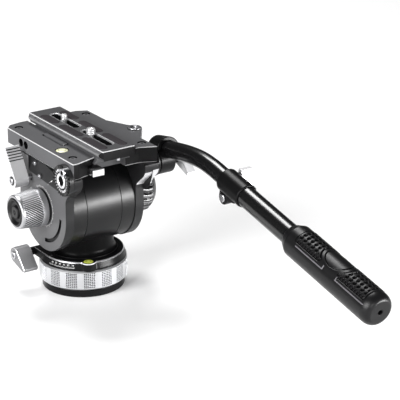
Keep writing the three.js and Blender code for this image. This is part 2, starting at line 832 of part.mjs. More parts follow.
let platform = slabZ(platformOutline, platformBottom, platformTop)
  .add(slabZ(ear, platformTop - earThickness, platformTop))
  .subtract(slabY(channel, -platformFront - overrun, platformFront + overrun))
  .subtract(block(
    plateX - channelHalf, plateX + channelHalf, -platformRear - overrun, -bedRear,
    platformBottom - overrun, platformTop + overrun,
  ))
  .subtract(block(
    jawLeft - jawTravel - gap, jawRight + gap, jawRearY - gap, jawFrontY + 2 * gap,
    channelBottom, platformTop + overrun,
  ))
  .subtract(block(
    jawRight, plateX - channelDeep + gap, jawRearY - gap, jawFrontY + 2 * gap, channelBottom, jawToeTop,
  ))
  .subtract(block(
    buttonX - gap, buttonX + buttonWidth + gap, -platformRear - overrun, -buttonPocketEnd,
    platformBottom - overrun, buttonTop + gap,
  ))
  .subtract(tubeZ(
    0, platformVialRadius + gap, platformVialBottom - gap, platformTop + overrun,
    platformVialX, platformVialY, coarse,
  ))
  .subtract(tubeZ(
    0, accessoryBarrel + gap, platformTop - earThickness - overrun, platformTop + overrun, accessoryX, earY, coarse,
  ));
for (const y of [portNearY, portNearY + portPitch]) {
  const z = platformTop - portDrop;
  const portX = -platformLeft + portDepth;
  platform = platform.subtract(tubeX(0, portRadius, -platformLeft - overrun, portX, y, z, coarse));
}
for (const x of [-platformScrewX, platformScrewRight]) {
  for (const y of [platformScrewRearY, platformScrewFrontY]) {
    const bottom = platformTop - platformScrewDepth;
    platform = platform.subtract(tubeZ(0, platformScrewRadius, bottom, platformTop + overrun, x, y, coarse));
  }
}
piece(cradle, "platform", platform, darkAnodised);
const platformVial = tubeZ(
  0, platformVialRadius, platformVialBottom, vialTop, platformVialX, platformVialY, coarse,
);
piece(cradle, "platform_level_vial", platformVial, vial);
const accessory = solid(turned([
  [accessoryBore, platformTop - earThickness],
  [accessoryBarrel, platformTop - earThickness],
  [accessoryBarrel, platformTop + gap],
  [accessoryRadius, platformTop + gap],
  [accessoryRadius, platformTop + gap + accessoryRim],
  [accessoryBore, platformTop + gap + accessoryRim],
], coarse).translate(accessoryX, earY, 0));
piece(cradle, "accessory_thread_insert", accessory, steel);

// Rosettes: discs with radial teeth on the outer face and a smooth raised ring round the bore.
function rosette(side, start, thickness) {
  const face = start + thickness;
  const profile = [
    [rosetteBore, start],
    [rosetteRadius, start],
    [rosetteRadius, face],
    [rosetteRing, face],
    [rosetteBore, face],
  ];
  const geometry = turned(profile, 2 * toothCount);
  const place = geometry.getAttribute("position");
  const rows = profile.length + 1;
  for (let i = 0; i < place.count; i++) {
    const odd = Math.floor(i / rows) % 2 === 1;
    if (odd && i % rows === 2) place.setZ(i, place.getZ(i) - toothDepth);
  }
  return solid(geometry.rotateY(side * quarterTurn).translate(0, rosetteY, rosetteZ));
}
const leftRosetteStart = plateOuter + gap;
const screwNotch = tubeX(
  0, rosetteScrewRadius + gap, -leftRosetteStart - rosetteThickness - overrun, -leftRosetteStart + overrun,
  rosetteScrewY, rosetteScrewZ, coarse,
);
const leftRosette = rosette(-1, leftRosetteStart, rosetteThickness).subtract(screwNotch);
piece(cradle, "left_rosette", leftRosette, blackPaint);
const rightRosetteStart = platformRight + gap;
piece(cradle, "right_rosette", rosette(1, rightRosetteStart, rightRosetteThickness), blackPaint);
const screwFace = leftRosetteStart;
const rosetteScrew = turnedX([
  [0, -screwFace],
  [rosetteScrewRadius, -screwFace],
  [rosetteScrewRadius, -screwFace - rosetteScrewLength],
  [rosetteScrewSocket, -screwFace - rosetteScrewLength],
  [rosetteScrewSocket, -screwFace - rosetteScrewLength / 2],
  [0, -screwFace - rosetteScrewLength / 2],
], rosetteScrewY, rosetteScrewZ, coarse);
piece(cradle, "rosette_screw", rosetteScrew, blackPlastic);

// Plate clamp lever on its pin, and the jaw that it draws against the camera plate.
const clampInner = plateOuter + clampStandoff;
const clampOuter = clampInner + clampWidth;
const clampLever = wingLever(
  clampY, clampZ, -clampOuter, -clampInner, clampAngle, clampBoss, clampLength, clampTip, pinBore,
);
piece(cradle, "plate_clamp_lever", clampLever, satinAluminium);
const clampPin = headedPin(pinRadius, pinHeadRadius, plateInner + gap, clampOuter, pinHeadHeight, -1, clampY, clampZ);
piece(cradle, "plate_clamp_pin", clampPin, steel);
const toeRight = plateX - channelDeep;
const jaw = outline([
  [jawLeft, channelBottom + gap],
  [toeRight, channelBottom + gap],
  [toeRight, jawToeTop - gap],
  [jawRight, jawToeTop - gap],
  [jawRight, platformTop + jawRise],
  [jawLeft, platformTop + jawRise],
]);
piece(cradle, "clamp_jaw", slabY(jaw, jawRearY, jawFrontY), darkAnodised);

const tiltLockInner = plateOuter + tiltLockStandoff;
const tiltLockOuter = tiltLockInner + tiltLockWidth;
const tiltLock = wingLever(
  tiltLockY, tiltLockZ, tiltLockInner, tiltLockOuter,
  tiltLockAngle, tiltLockBoss, tiltLockLength, tiltLockTip, pinBore,
);
piece(cradle, "tilt_lock_lever", tiltLock, darkAnodised);
const tiltPin = headedPin(
  pinRadius, pinHeadRadius, plateInner + gap, tiltLockOuter, pinHeadHeight, 1, tiltLockY, tiltLockZ,
);
piece(cradle, "tilt_lock_pin", tiltPin, steel);

// Plate release button, hollow over its return spring.
const buttonZ = buttonTop - buttonRise / 2;
const buttonMiddle = buttonX + buttonWidth / 2;
const buttonFront = -buttonRear + buttonLength;
const springBase = -buttonPocketEnd - gap;
const tubeY = (inner, outer, y0, y1) => {
  const profile = [[inner, -y1], [outer, -y1], [outer, -y0], [inner, -y0]];
  return solid(turned(profile, coarse).rotateX(quarterTurn).translate(buttonMiddle, 0, buttonZ));
};
const buttonBore = tubeY(
  0, buttonSpringRadius + gap, springBase - buttonSpringLength - buttonTravel - 2 * gap, buttonFront + overrun,
);
const button = block(
  buttonX, buttonX + buttonWidth, -buttonRear, buttonFront, platformBottom + buttonLift, buttonTop,
).subtract(buttonBore);
piece(cradle, "plate_release_button", button, satinAluminium);
const buttonSpring = tubeY(
  buttonSpringRadius - buttonSpringWire, buttonSpringRadius, springBase - buttonSpringLength, springBase,
);
piece(cradle, "release_button_spring", buttonSpring, steel);

// Knobs on the tilt axis: the drag knob on the left, and the counterbalance knob on the right.
const dragKnob = turnedX([
  [axleRadius + gap, -dragKnobInner + gap],
  [dragCollarRadius, -dragKnobInner + gap],
  [dragKnobRadius, -dragKnobInner],
  [dragKnobRadius, -dragKnobInner - dragCapDepth],
  [dragKnobTip, -dragKnobOuter + edgeChamfer],
  [dragKnobTip - edgeChamfer, -dragKnobOuter],
  [dragCapRadius + gap, -dragKnobOuter],
  [dragCapRadius + gap, -dragKnobOuter + dragCapDepth],
  [axleRadius + gap, -dragKnobOuter + dragCapDepth],
], 0, tiltHeight);
piece(cradle, "drag_knob", dragKnob, satinAluminium);
const dragCapInner = dragKnobOuter - dragCapDepth + gap;
const dragCap = turnedX([
  [0, -dragCapInner],
  [dragCapRadius, -dragCapInner],
  [dragCapRadius, -dragKnobOuter - edgeChamfer],
  [dragCapDish, -dragKnobOuter - edgeChamfer],
  [dragCapDish - edgeChamfer, -dragKnobOuter + edgeChamfer],
  [0, -dragKnobOuter + edgeChamfer],
], 0, tiltHeight);
piece(cradle, "drag_knob_cap", dragCap, blackPlastic);

function ribbed() {
  const points = [];
  for (let i = 0; i < balanceRibCount; i++) {
    for (const [share, rise] of [[0, 0], [0.2, balanceRibHeight], [0.5, balanceRibHeight], [0.7, 0]]) {
      const angle = (2 * Math.PI * (i + share)) / balanceRibCount;
      const radius = balanceKnobRadius + rise;
      points.push([radius * Math.cos(angle), tiltHeight + radius * Math.sin(angle)]);
    }
  }
  return outline(points);
}
const balanceKnob = slabX(ribbed(), balanceKnobInner, balanceKnobRibEnd)
  .add(turnedX([
    [0, balanceKnobRibEnd - edgeChamfer],
    [balanceKnobRadius - edgeChamfer, balanceKnobRibEnd - edgeChamfer],
    [balanceKnobTip, balanceKnobOuter],
    [0, balanceKnobOuter],
  ], 0, tiltHeight))
  .subtract(tubeX(0, axleRadius + gap, balanceKnobInner - overrun, balanceKnobOuter + overrun, 0, tiltHeight, coarse))
  .subtract(tubeX(
    0, balanceCapRadius + gap, balanceKnobOuter - balanceCapDepth, balanceKnobOuter + overrun, 0, tiltHeight,
  ));
piece(cradle, "counterbalance_knob", balanceKnob, blackPlastic);
const balanceCapInner = Math.max(balanceKnobOuter - balanceCapDepth, axleRightEnd) + gap;
const balanceCap = tubeX(0, balanceCapRadius, balanceCapInner, balanceKnobOuter + edgeChamfer, 0, tiltHeight);
piece(cradle, "counterbalance_knob_cap", balanceCap, blackPlastic);

// Camera plate: a slab with ridged sides, two screw slots and a dovetail foot.
const slabBottom = platformTop + gap;
const cameraPlateTop = slabBottom + cameraPlateThickness;
const footHalf = channelHalf - gap;
const footDeep = channelDeep - gap;
const footShoulder = channelShoulder - gap;
const footBottom = channelBottom + gap;
const halfProfile = [
  [cameraPlateTopHalf, cameraPlateTop],
  [cameraPlateRidgeHalf, cameraPlateTop - ridgeTopDrop],
  [cameraPlateRidgeHalf, cameraPlateTop - ridgeBottomDrop],
  [footHalf, cameraPlateTop - ridgeUnderDrop],
  [footHalf, footShoulder],
  [footDeep, footShoulder - channelUndercut],
  [footDeep, footBottom],
];
const rightSide = halfProfile.map(([half, z]) => [plateX + half, z]);
const leftSide = halfProfile.map(([half, z]) => [plateX - half, z]).reverse();
const planHalf = cameraPlateRidgeHalf + edgeChamfer;
const plan = outline([
  [plateX - planHalf, -cameraPlateRear],
  [plateX + planHalf, -cameraPlateRear],
  [plateX + planHalf, cameraPlateFront],
  [plateX - planHalf, cameraPlateFront],
], cameraPlateCorner + edgeChamfer);
const slotCeiling = cameraPlateTop - slabThickness;
const slots = [[slotInner, slotFront], [-slotRear, -slotInner]];
const padBottom = cameraPlateTop - padDepth;
let cameraPlate = slabY(outline([...rightSide, ...leftSide]), -cameraPlateRear, cameraPlateFront)
  .intersect(slabZ(plan, footBottom - overrun, cameraPlateTop + overrun))
  .subtract(block(
    plateX - planHalf, plateX + planHalf, footFront, cameraPlateFront + overrun,
    footBottom - overrun, slabBottom,
  ))
  .subtract(block(
    plateX - planHalf, plateX + planHalf, -cameraPlateRear - overrun, -footRear,
    footBottom - overrun, slabBottom,
  ));
for (const [y0, y1] of slots) {
  cameraPlate = cameraPlate
    .subtract(slabZ(stadium(plateX, y0, y1, slotHalf), slotCeiling - overrun, cameraPlateTop + overrun))
    .subtract(block(
      plateX - recessHalf, plateX + recessHalf, y0 - recessMargin, y1 + recessMargin,
      footBottom - overrun, slotCeiling,
    ));
}
for (const [place, y0, y1] of padStretches) {
  for (const [sideName, side] of [["left", -1], ["right", 1]]) {
    const x = plateX + side * padOffset;
    const pocket = slabZ(stadium(x, y0 - gap, y1 + gap, padHalf + gap), padBottom - gap, cameraPlateTop + overrun);
    cameraPlate = cameraPlate.subtract(pocket);
    const pad = slabZ(stadium(x, y0, y1, padHalf), padBottom, cameraPlateTop + padRise);
    piece(cameraPlateGroup, "plate_pad_" + sideName + "_" + place, pad, rubber);
  }
}
piece(cameraPlateGroup, "camera_plate", cameraPlate, darkAnodised);

// Camera screws: each turns in a carriage that slides under its slot.
function cameraScrew(name, y, radius) {
  const neck = Math.min(radius, slotHalf - gap);
  const carriageTop = slotCeiling - gap;
  const carriageBottom = carriageTop - carriageHeight;
  const headTop = carriageBottom - gap;
  const carriage = block(
    plateX - carriageHalf, plateX + carriageHalf, y - carriageLength / 2, y + carriageLength / 2,
    carriageBottom, carriageTop,
  ).subtract(tubeZ(0, neck + gap, carriageBottom - overrun, carriageTop + overrun, plateX, y, coarse));
  piece(cameraPlateGroup, name + "_screw_carriage", carriage, steel);
  const screw = solid(turned([
    [0, headTop - screwHeadHeight],
    [screwHeadRadius, headTop - screwHeadHeight],
    [screwHeadRadius, headTop],
    [neck, headTop],
    [neck, cameraPlateTop + gap],
    [radius, cameraPlateTop + gap],
    [radius, cameraPlateTop + screwRise - edgeChamfer],
    [radius - edgeChamfer, cameraPlateTop + screwRise],
    [0, cameraPlateTop + screwRise],
  ], coarse).translate(plateX, y, 0));
  piece(cameraPlateGroup, name + "_camera_screw", screw, satinAluminium);
}
cameraScrew("quarter_inch", quarterY, quarterRadius);
cameraScrew("three_eighths_inch", threeEighthsY, threeEighthsRadius);

// Pan bar bracket: a hub on the right rosette, with a barrel that holds the arm.
const hubInner = rightRosetteStart + rightRosetteThickness + gap;
const barrelY = rosetteY;
const barrelZ = rosetteZ + barrelRise;
const barrelPlace = (geometry) => {
  return solid(geometry.rotateX(quarterTurn - barrelSlope).translate(barX, barrelY, barrelZ));
};
const barrel = barrelPlace(turned([
  [0, -barrelFrontLength],
  [barrelRadius - 2 * edgeChamfer, -barrelFrontLength],
  [barrelRadius, -barrelFrontLength + 2 * edgeChamfer],
  [barrelRadius, barrelRearLength - edgeChamfer],
  [barrelRadius - edgeChamfer, barrelRearLength],
  [0, barrelRearLength],
]));
const barrelBore = barrelPlace(turned([
  [0, barrelSocket - gap],
  [armRadius + gap, barrelSocket - gap],
  [armRadius + gap, barrelRearLength + bracketHubRadius],
  [0, barrelRearLength + bracketHubRadius],
]));
const spacerEnd = hubFace + barLeverSpacer;
const bracket = tubeX(0, bracketHubRadius, hubInner, hubFace, rosetteY, rosetteZ)
  .add(barrel)
  .add(tubeX(0, barLeverBoss, hubFace - overrun, spacerEnd, rosetteY, rosetteZ, coarse))
  .subtract(tubeX(0, boltRadius + gap, hubInner - overrun, spacerEnd + overrun, rosetteY, rosetteZ, coarse))
  .subtract(barrelBore);
piece(bar, "pan_bar_bracket", bracket, blackPaint);
const barLeverInner = spacerEnd + gap;
const barLeverOuter = barLeverInner + barLeverWidth;
const barLever = wingLever(
  rosetteY, rosetteZ, barLeverInner, barLeverOuter,
  barLeverAngle, barLeverBoss, barLeverLength, barLeverTip, boltRadius + gap,
);
piece(bar, "pan_bar_clamp_lever", barLever, satinAluminium);
const boltInner = rightRosetteStart;
const boltHead = barLeverBoss - edgeChamfer;
const barBolt = headedPin(boltRadius, boltHead, boltInner, barLeverOuter, pinHeadHeight, 1, rosetteY, rosetteZ);
piece(bar, "pan_bar_clamp_bolt", barBolt, steel);

// Bent arm: a tube that leaves the barrel, bends over and runs straight inside the extension tube.
const straightSlope = Math.tan(barSlope);
const collarZ = rosetteZ + collarRise;
const onStraight = (y) => new THREE.Vector3(barX, y, collarZ + (y - collarY) * straightSlope);
const armStart = new THREE.Vector3(
  barX,
  barrelY - barrelSocket * Math.cos(barrelSlope),
  barrelZ + barrelSocket * Math.sin(barrelSlope),
);
const bendPoints = armCurve.map(([y, rise]) => new THREE.Vector3(barX, y, rosetteZ + rise));
const armPath = new THREE.CurvePath();
armPath.add(new THREE.CatmullRomCurve3([armStart, ...bendPoints, onStraight(armStraightY)]));
const armTip = collarY - armEnd * Math.cos(barSlope);
armPath.add(new THREE.LineCurve3(onStraight(armStraightY), onStraight(armTip)));
const armSection = new THREE.Shape();
armSection.absarc(0, 0, armRadius, 0, 2 * Math.PI, false);
const armBore = new THREE.Path();
armBore.absarc(0, 0, armRadius - armWall, 0, 2 * Math.PI, true);
armSection.holes.push(armBore);
const arm = new THREE.ExtrudeGeometry(armSection, { steps: 18, curveSegments: 6, extrudePath: armPath });
piece(bar, "pan_bar_arm", solid(arm), blackPaint);

// Telescopic end: collar, extension tube, grip and lever, in a frame whose Z runs out along the bar.
const telescope = new THREE.Group();
telescope.position.set(barX, collarY, collarZ);
telescope.rotation.x = quarterTurn + barSlope;
bar.add(telescope);
const tubeBore = armRadius + gap;
const tubeStart = collarLength - collarSeat + gap;
const collarTube = solid(turned([
  [tubeBore, 0],
  [collarRadius - edgeChamfer, 0],
  [collarRadius, edgeChamfer],
  [collarRadius, collarLength - edgeChamfer],
  [collarRadius - edgeChamfer, collarLength],
  [tubeRadius + gap, collarLength],
  [tubeRadius + gap, collarLength - collarSeat],
  [tubeBore, collarLength - collarSeat],
]));
const lugShape = new THREE.Shape();
lugShape.absarc(-lugDrop + lugHalf, lugPlace, lugHalf, quarterTurn, 3 * quarterTurn, false);
lugShape.lineTo(-tubeBore - gap, lugPlace - lugHalf);
lugShape.lineTo(-tubeBore - gap, lugPlace + lugHalf);
const lug = slabX(lugShape, -lugHalf, collarRadius, 6);
const slit = block(-lugSlit / 2, lugSlit / 2, -lugDrop - overrun, -tubeBore, -overrun, collarLength - collarSeat);
const boltDrop = lugDrop - lugHalf;
const lugHole = tubeX(0, lugBore + gap, -lugHalf - overrun, collarRadius + overrun, -boltDrop, lugPlace, coarse);
const collar = collarTube.add(lug).subtract(slit).subtract(lugHole);
piece(telescope, "clamp_collar", collar, blackPaint);
const collarLeverInner = collarRadius + gap;
const collarLeverOuter = collarLeverInner + collarLeverWidth;
const collarLever = wingLever(
  -boltDrop, lugPlace, collarLeverInner, collarLeverOuter,
  collarLeverAngle, collarLeverBoss, collarLeverLength, collarLeverTip, lugBore + gap,
);
piece(telescope, "collar_lever", collarLever, satinAluminium);
const collarBolt = turnedX([
  [0, -lugHalf - gap - pinHeadHeight],
  [pinHeadRadius, -lugHalf - gap - pinHeadHeight],
  [pinHeadRadius, -lugHalf - gap],
  [lugBore, -lugHalf - gap],
  [lugBore, collarLeverOuter],
  [0, collarLeverOuter],
], -boltDrop, lugPlace, coarse);
piece(telescope, "collar_bolt", collarBolt, steel);

piece(telescope, "extension_tube", tubeZ(tubeBore, tubeRadius, tubeStart, tubeEnd), blackPaint);
const gripShape = solid(turned([
  [tubeRadius + gap, gripStart],
  [gripNeckRadius, gripStart],
  [gripRadius, gripStart + gripTaper],
  [gripRadius, gripEnd - gripRounding],
  [gripRadius - gripRounding / 4, gripEnd - gripRounding / 3],
  [gripRadius - gripRounding / 2, gripEnd],
  [gripHole, gripEnd],
  [gripHole, gripEnd - gripEndWall],
  [tubeRadius + gap, gripEnd - gripEndWall],
]));
piece(telescope, "grip", gripShape, rubber);

export default head;
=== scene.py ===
"""A fluid video head: a flat base with a knurled clamp ring, a pan stage, a tilting drum between two side plates,
a sliding camera plate and a telescopic pan bar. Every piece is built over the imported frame, in the same axes.
Sizes are in millimetres, except those of the camera, the floor and the lamps, which are in metres.
"""

import math

import bmesh
import bpy
import numpy as np
from mathutils import Matrix, Vector
from mathutils.geometry import tessellate_polygon


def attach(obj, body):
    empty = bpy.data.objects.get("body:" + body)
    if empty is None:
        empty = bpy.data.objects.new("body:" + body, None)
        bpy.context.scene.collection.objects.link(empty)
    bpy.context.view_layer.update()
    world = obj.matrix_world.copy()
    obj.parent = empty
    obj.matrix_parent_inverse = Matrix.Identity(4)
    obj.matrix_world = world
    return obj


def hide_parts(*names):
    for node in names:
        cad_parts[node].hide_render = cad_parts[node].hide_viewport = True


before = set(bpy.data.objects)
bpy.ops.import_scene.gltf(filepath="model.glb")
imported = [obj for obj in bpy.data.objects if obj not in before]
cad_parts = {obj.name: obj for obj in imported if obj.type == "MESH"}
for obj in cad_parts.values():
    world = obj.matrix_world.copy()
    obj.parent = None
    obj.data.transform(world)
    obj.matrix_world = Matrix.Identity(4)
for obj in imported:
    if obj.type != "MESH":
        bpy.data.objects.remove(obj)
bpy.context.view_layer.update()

# Camera: the photograph's view, from the operator's left and above, through a long lens on a 36 mm wide frame. Its
# place, turn and lens were fitted to the photograph.
CAMERA_AZIMUTH = math.radians(-33.91)
CAMERA_ELEVATION = math.radians(21.23)
CAMERA_PLACE = (-0.8252, -1.4356, 0.7283)
CAMERA_LENS = 162.43
FRAME_WIDTH = 36
FARTHEST_SEEN = 50


def put_in_scene(name, data):
    """A new object that holds the data."""
    made = bpy.data.objects.new(name, data)
    bpy.context.collection.objects.link(made)
    return made


right = Vector((math.cos(CAMERA_AZIMUTH), math.sin(CAMERA_AZIMUTH), 0))
back = Vector((
    math.sin(CAMERA_AZIMUTH) * math.cos(CAMERA_ELEVATION),
    -math.cos(CAMERA_AZIMUTH) * math.cos(CAMERA_ELEVATION),
    math.sin(CAMERA_ELEVATION),
))
camera_turn = Matrix((right, back.cross(right), back)).transposed().to_4x4()
camera = put_in_scene("camera", bpy.data.cameras.new("camera"))
camera.data.lens = CAMERA_LENS
camera.data.sensor_width = FRAME_WIDTH
camera.data.clip_end = FARTHEST_SEEN
camera.matrix_world = Matrix.Translation(CAMERA_PLACE) @ camera_turn
bpy.context.scene.camera = camera
bpy.context.scene.view_settings.view_transform = "Standard"

# Studio: a pale paper floor that keeps the shadow, a white surround that glossy faces see, and soft lamps. It isn't
# part of the object.
FLOOR_HALF = 12.0
FLOOR_LEVEL = -0.0002
SURROUND_LIGHT, SURROUND_SEEN = 0.2, 1.0
LAMPS_AIM = (0, 0, 0.1)
UNIT_SQUARE = np.array([(-1, -1), (1, -1), (1, 1), (-1, 1)])


def feed(owner, node, inputs):
    """Each input of a node gets its fixed value, or a wire from the socket that is given for it."""
    for socket, value in inputs.items():
        if isinstance(value, bpy.types.NodeSocket):
            owner.node_tree.links.new(value, node.inputs[socket])
        else:
            node.inputs[socket].default_value = value


def add_node(owner, kind, inputs, **settings):
    """A new node of a material or of the world, with its settings and its inputs."""
    node = owner.node_tree.nodes.new("ShaderNode" + kind)
    for setting, value in settings.items():
        setattr(node, setting, value)
    feed(owner, node, inputs)
    return node


def blank_material(name, inputs):
    """A new material, and its shader with these inputs."""
    made = bpy.data.materials.new(name)
    made.use_nodes = True
    shader = made.node_tree.nodes["Principled BSDF"]
    feed(made, shader, inputs)
    return made, shader


def softbox(name, place, width, height, watts, aim=LAMPS_AIM):
    """A rectangular lamp at a place, turned so that its -Z looks at the aim."""
    lamp = bpy.data.lights.new(name, "AREA")
    lamp.shape = "RECTANGLE"
    lamp.size = width
    lamp.size_y = height
    lamp.energy = watts
    turn = (Vector(place) - Vector(aim)).to_track_quat("Z", "Y").to_matrix().to_4x4()
    put_in_scene(name, lamp).matrix_world = Matrix.Translation(place) @ turn


paper, _ = blank_material("studio_paper", {
    "Base Color": (0.93, 0.93, 0.93, 1), "Roughness": 0.9, "Specular IOR Level": 0.1,
})
floor_mesh = bpy.data.meshes.new("floor")
floor_mesh.from_pydata([(x, y, FLOOR_LEVEL) for x, y in UNIT_SQUARE * FLOOR_HALF], [], [(0, 1, 2, 3)])
floor_mesh.materials.append(paper)
floor = put_in_scene("floor", floor_mesh)

world = bpy.data.worlds.new("studio")
bpy.context.scene.world = world
world.use_nodes = True
rays = add_node(world, "LightPath", {})
seen = rays.outputs["Is Camera Ray"]
for kind in ("Is Glossy Ray", "Is Transmission Ray"):
    seen = add_node(world, "Math", {0: seen, 1: rays.outputs[kind]}, operation="MAXIMUM").outputs[0]
strength = add_node(world, "MapRange", {"Value": seen, "To Min": SURROUND_LIGHT, "To Max": SURROUND_SEEN})
feed(world, world.node_tree.nodes["Background"], {"Strength": strength.outputs["Result"]})

softbox("top_softbox", (0.6, 1.6, 3.0), 1.35, 1.1, 90)
softbox("left_softbox", (-2.0, -0.45, 1.0), 1.5, 1.1, 76)
softbox("rear_fill", (-0.9, -2.0, 0.75), 0.9, 0.9, 16)
softbox("low_strip", (0.83, -1.36, 0.12), 0.9, 0.22, 40, aim=(0, 0, 0.08))

# Base disc: black anodised aluminium, turned from bar, with a hub that the clamp ring runs on. Its underside is faced
# flat between two rims, and the tripod's plate is screwed up against it.
MM = 0.001
FULL_TURN = 2 * np.pi
HUB_RADIUS, HUB_BORE, HUB_TOP = 33.5, 24, 28.5
INSERT_RADIUS = 8.3
PAN_LINE = ("z", (0, 0, 0))
MOTTLE_SCALE = 90
LONGEST_CUT = 0.45


def rounded(points, reach, steps=3, closed=False):
    """Each corner c of a polyline becomes the curve (1-t)^2 a + 2t(1-t) c + t^2 b, where a and b lie on its two
    legs, `reach` from c but never past 45% of the leg."""
    corners = np.asarray(points, float)
    before = np.roll(corners, 1, axis=0) - corners
    after = np.roll(corners, -1, axis=0) - corners
    legs = np.minimum(np.hypot(*before.T), np.hypot(*after.T))
    cut = np.minimum(reach, LONGEST_CUT * legs)[:, None]
    start = corners + before / np.hypot(*before.T)[:, None] * cut
    end = corners + after / np.hypot(*after.T)[:, None] * cut
    t = np.linspace(0, 1, steps + 1)[None, :, None]
    arcs = (1 - t) ** 2 * start[:, None] + 2 * t * (1 - t) * corners[:, None] + t**2 * end[:, None]
    if closed:
        return arcs.reshape(-1, 2)
    return np.concatenate([corners[:1], arcs[1:-1].reshape(-1, 2), corners[-1:]])


def grid(points, mark=0, wrap_u=True, wrap_v=False):
    """A patch of quads over an n by m table of points; a wrapped side joins its last row to its first. A patch is
    its points, its faces, and the number of their finish, or one number for each face."""
    n, m = points.shape[:2]
    i = np.arange(n if wrap_u else n - 1)[:, None]
    j = np.arange(m if wrap_v else m - 1)[None, :]
    i2, j2 = (i + 1) % n, (j + 1) % m
    faces = np.stack([i * m + j, i2 * m + j, i2 * m + j2, i * m + j2], -1).reshape(-1, 4)
    return points.reshape(-1, 3), faces, mark


def along(u, v, h, axis):
    """Points in metres from plane coordinates u, v and height h, with the height along the named axis."""
    order = {"x": (h, u, v), "y": (u, h, v), "z": (u, v, h)}[axis]
    return np.stack(np.broadcast_arrays(*order), -1) * MM


def polar(centre, radius, angle, height, axis):
    """Points in metres: centre plus radius times (cos angle, sin angle), at a height along the named axis."""
    return along(centre[0] + radius * np.cos(angle), centre[1] + radius * np.sin(angle), height, axis)


def turned(profile, axis="z", centre=(0, 0), count=192, mark=0, closed=False, swell=None, tint=None, twist=0.0):
    """A turned surface: the point at angle t and profile step s is (r cos t + a, r sin t + b) at height h, where
    r = r(s) + swell(t, h). A tint gives each face its finish from t and h at its middle. A twist turns each ring by
    twist times its height."""
    profile = np.asarray(profile, float)
    angle = np.linspace(0, FULL_TURN, count, endpoint=False)[:, None]
    radius, height = profile[:, 0][None, :], profile[:, 1][None, :]
    if tint is not None:
        mark = tint(angle + np.pi / count, (height[:, :-1] + height[:, 1:]) / 2).ravel()
    if swell is not None:
        radius = radius + swell(angle, height)
    return grid(polar(centre, radius, angle + twist * height, height, axis), mark, wrap_v=closed)


def turned_ring(points, reach, **where):
    """A turned body with a hole through it, from the rounded outline of its section."""
    return turned(rounded(points, reach, closed=True), closed=True, **where)


def assemble(name, patches, finishes, crisp=30.0, merge=0.002):
    """One object from patches of points, faces and a finish number. Points nearer than `merge` mm become one, faces
    turn outwards, and edges that turn more than `crisp` degrees stay sharp."""
    starts = np.cumsum([0] + [len(points) for points, _, _ in patches[:-1]])
    mesh = bpy.data.meshes.new(name)
    points = np.concatenate([points for points, _, _ in patches])
    corners = np.concatenate([(faces + start).ravel() for (_, faces, _), start in zip(patches, starts)])
    sizes = np.concatenate([np.full(len(faces), faces.shape[1]) for _, faces, _ in patches])
    marks = np.concatenate([np.full(len(faces), mark) for _, faces, mark in patches])
    mesh.vertices.add(len(points))
    mesh.vertices.foreach_set("co", points.astype(np.float32).ravel())
    mesh.loops.add(len(corners))
    mesh.loops.foreach_set("vertex_index", corners.astype(np.int32))
    mesh.polygons.add(len(sizes))
    mesh.polygons.foreach_set("loop_start", (np.cumsum(sizes) - sizes).astype(np.int32))
    mesh.polygons.foreach_set("material_index", marks.astype(np.int32))
    mesh.update(calc_edges=True)
    work = bmesh.new()
    work.from_mesh(mesh)
    bmesh.ops.remove_doubles(work, verts=work.verts, dist=merge * MM)
    bmesh.ops.recalc_face_normals(work, faces=work.faces)
    work.to_mesh(mesh)
    work.free()
    for finish in finishes:
        mesh.materials.append(finish)
    mesh.polygons.foreach_set("use_smooth", np.ones(len(mesh.polygons), bool))
    mesh.set_sharp_from_angle(angle=math.radians(crisp))
    made = put_in_scene(name, mesh)
    shading = made.modifiers.new("flat faces shade flat", "WEIGHTED_NORMAL")
    shading.keep_sharp = True
    shading.weight = 80
    return made


def metal(name, colour, roughness, metallic=0.0, mottle=0.12, grain=0.12, size=0.25, lathe=None, shine=0.5):
    """A metal, plastic or rubber finish: colour and roughness wander with soft noise by the share `mottle`, and a
    fine grain, `size` mm across, stands up from it. With lathe = (axis, centre) the grain is noise of the distance
    from that axis plus the height along it, in rings, as a turning tool leaves it."""
    made, shader = blank_material(name, {"Metallic": metallic, "Specular IOR Level": shine})
    place = add_node(made, "TexCoord", {}).outputs["Object"]
    soft = add_node(made, "TexNoise", {"Vector": place, "Scale": MOTTLE_SCALE, "Detail": 4}).outputs["Fac"]
    darker = [c * (1 - mottle) for c in colour]
    lighter = [min(1, c * (1 + mottle)) for c in colour]
    tone = add_node(made, "Mix", {"Factor": soft, "A": (*darker, 1), "B": (*lighter, 1)}, data_type="RGBA")
    gloss = add_node(made, "MapRange", {
        "Value": soft, "To Min": roughness * (1 - mottle), "To Max": roughness * (1 + mottle),
    })
    grain_inputs = {"Detail": 2, "Scale": 1 / (size * MM)}
    if lathe is None:
        fine = add_node(made, "TexNoise", {"Vector": place, **grain_inputs})
    else:
        axis, centre = lathe
        on_axis = [1 if a == axis else 0 for a in "xyz"]
        off_axis = [1 - a for a in on_axis]
        moved_node = add_node(made, "VectorMath", {0: place, 1: [c * MM for c in centre]}, operation="SUBTRACT")
        moved_place = moved_node.outputs["Vector"]
        across = add_node(made, "VectorMath", {0: moved_place, 1: off_axis}, operation="MULTIPLY")
        away = add_node(made, "VectorMath", {0: across.outputs["Vector"]}, operation="LENGTH")
        height = add_node(made, "VectorMath", {0: moved_place, 1: on_axis}, operation="DOT_PRODUCT")
        both = add_node(made, "Math", {0: away.outputs["Value"], 1: height.outputs["Value"]})
        fine = add_node(made, "TexNoise", {"W": both.outputs[0], **grain_inputs}, noise_dimensions="1D")
    relief = add_node(made, "Bump", {"Strength": grain, "Distance": 0.1 * MM, "Height": fine.outputs["Fac"]})
    feed(made, shader, {
        "Base Color": tone.outputs["Result"], "Roughness": gloss.outputs["Result"],
        "Normal": relief.outputs["Normal"],
    })
    return made


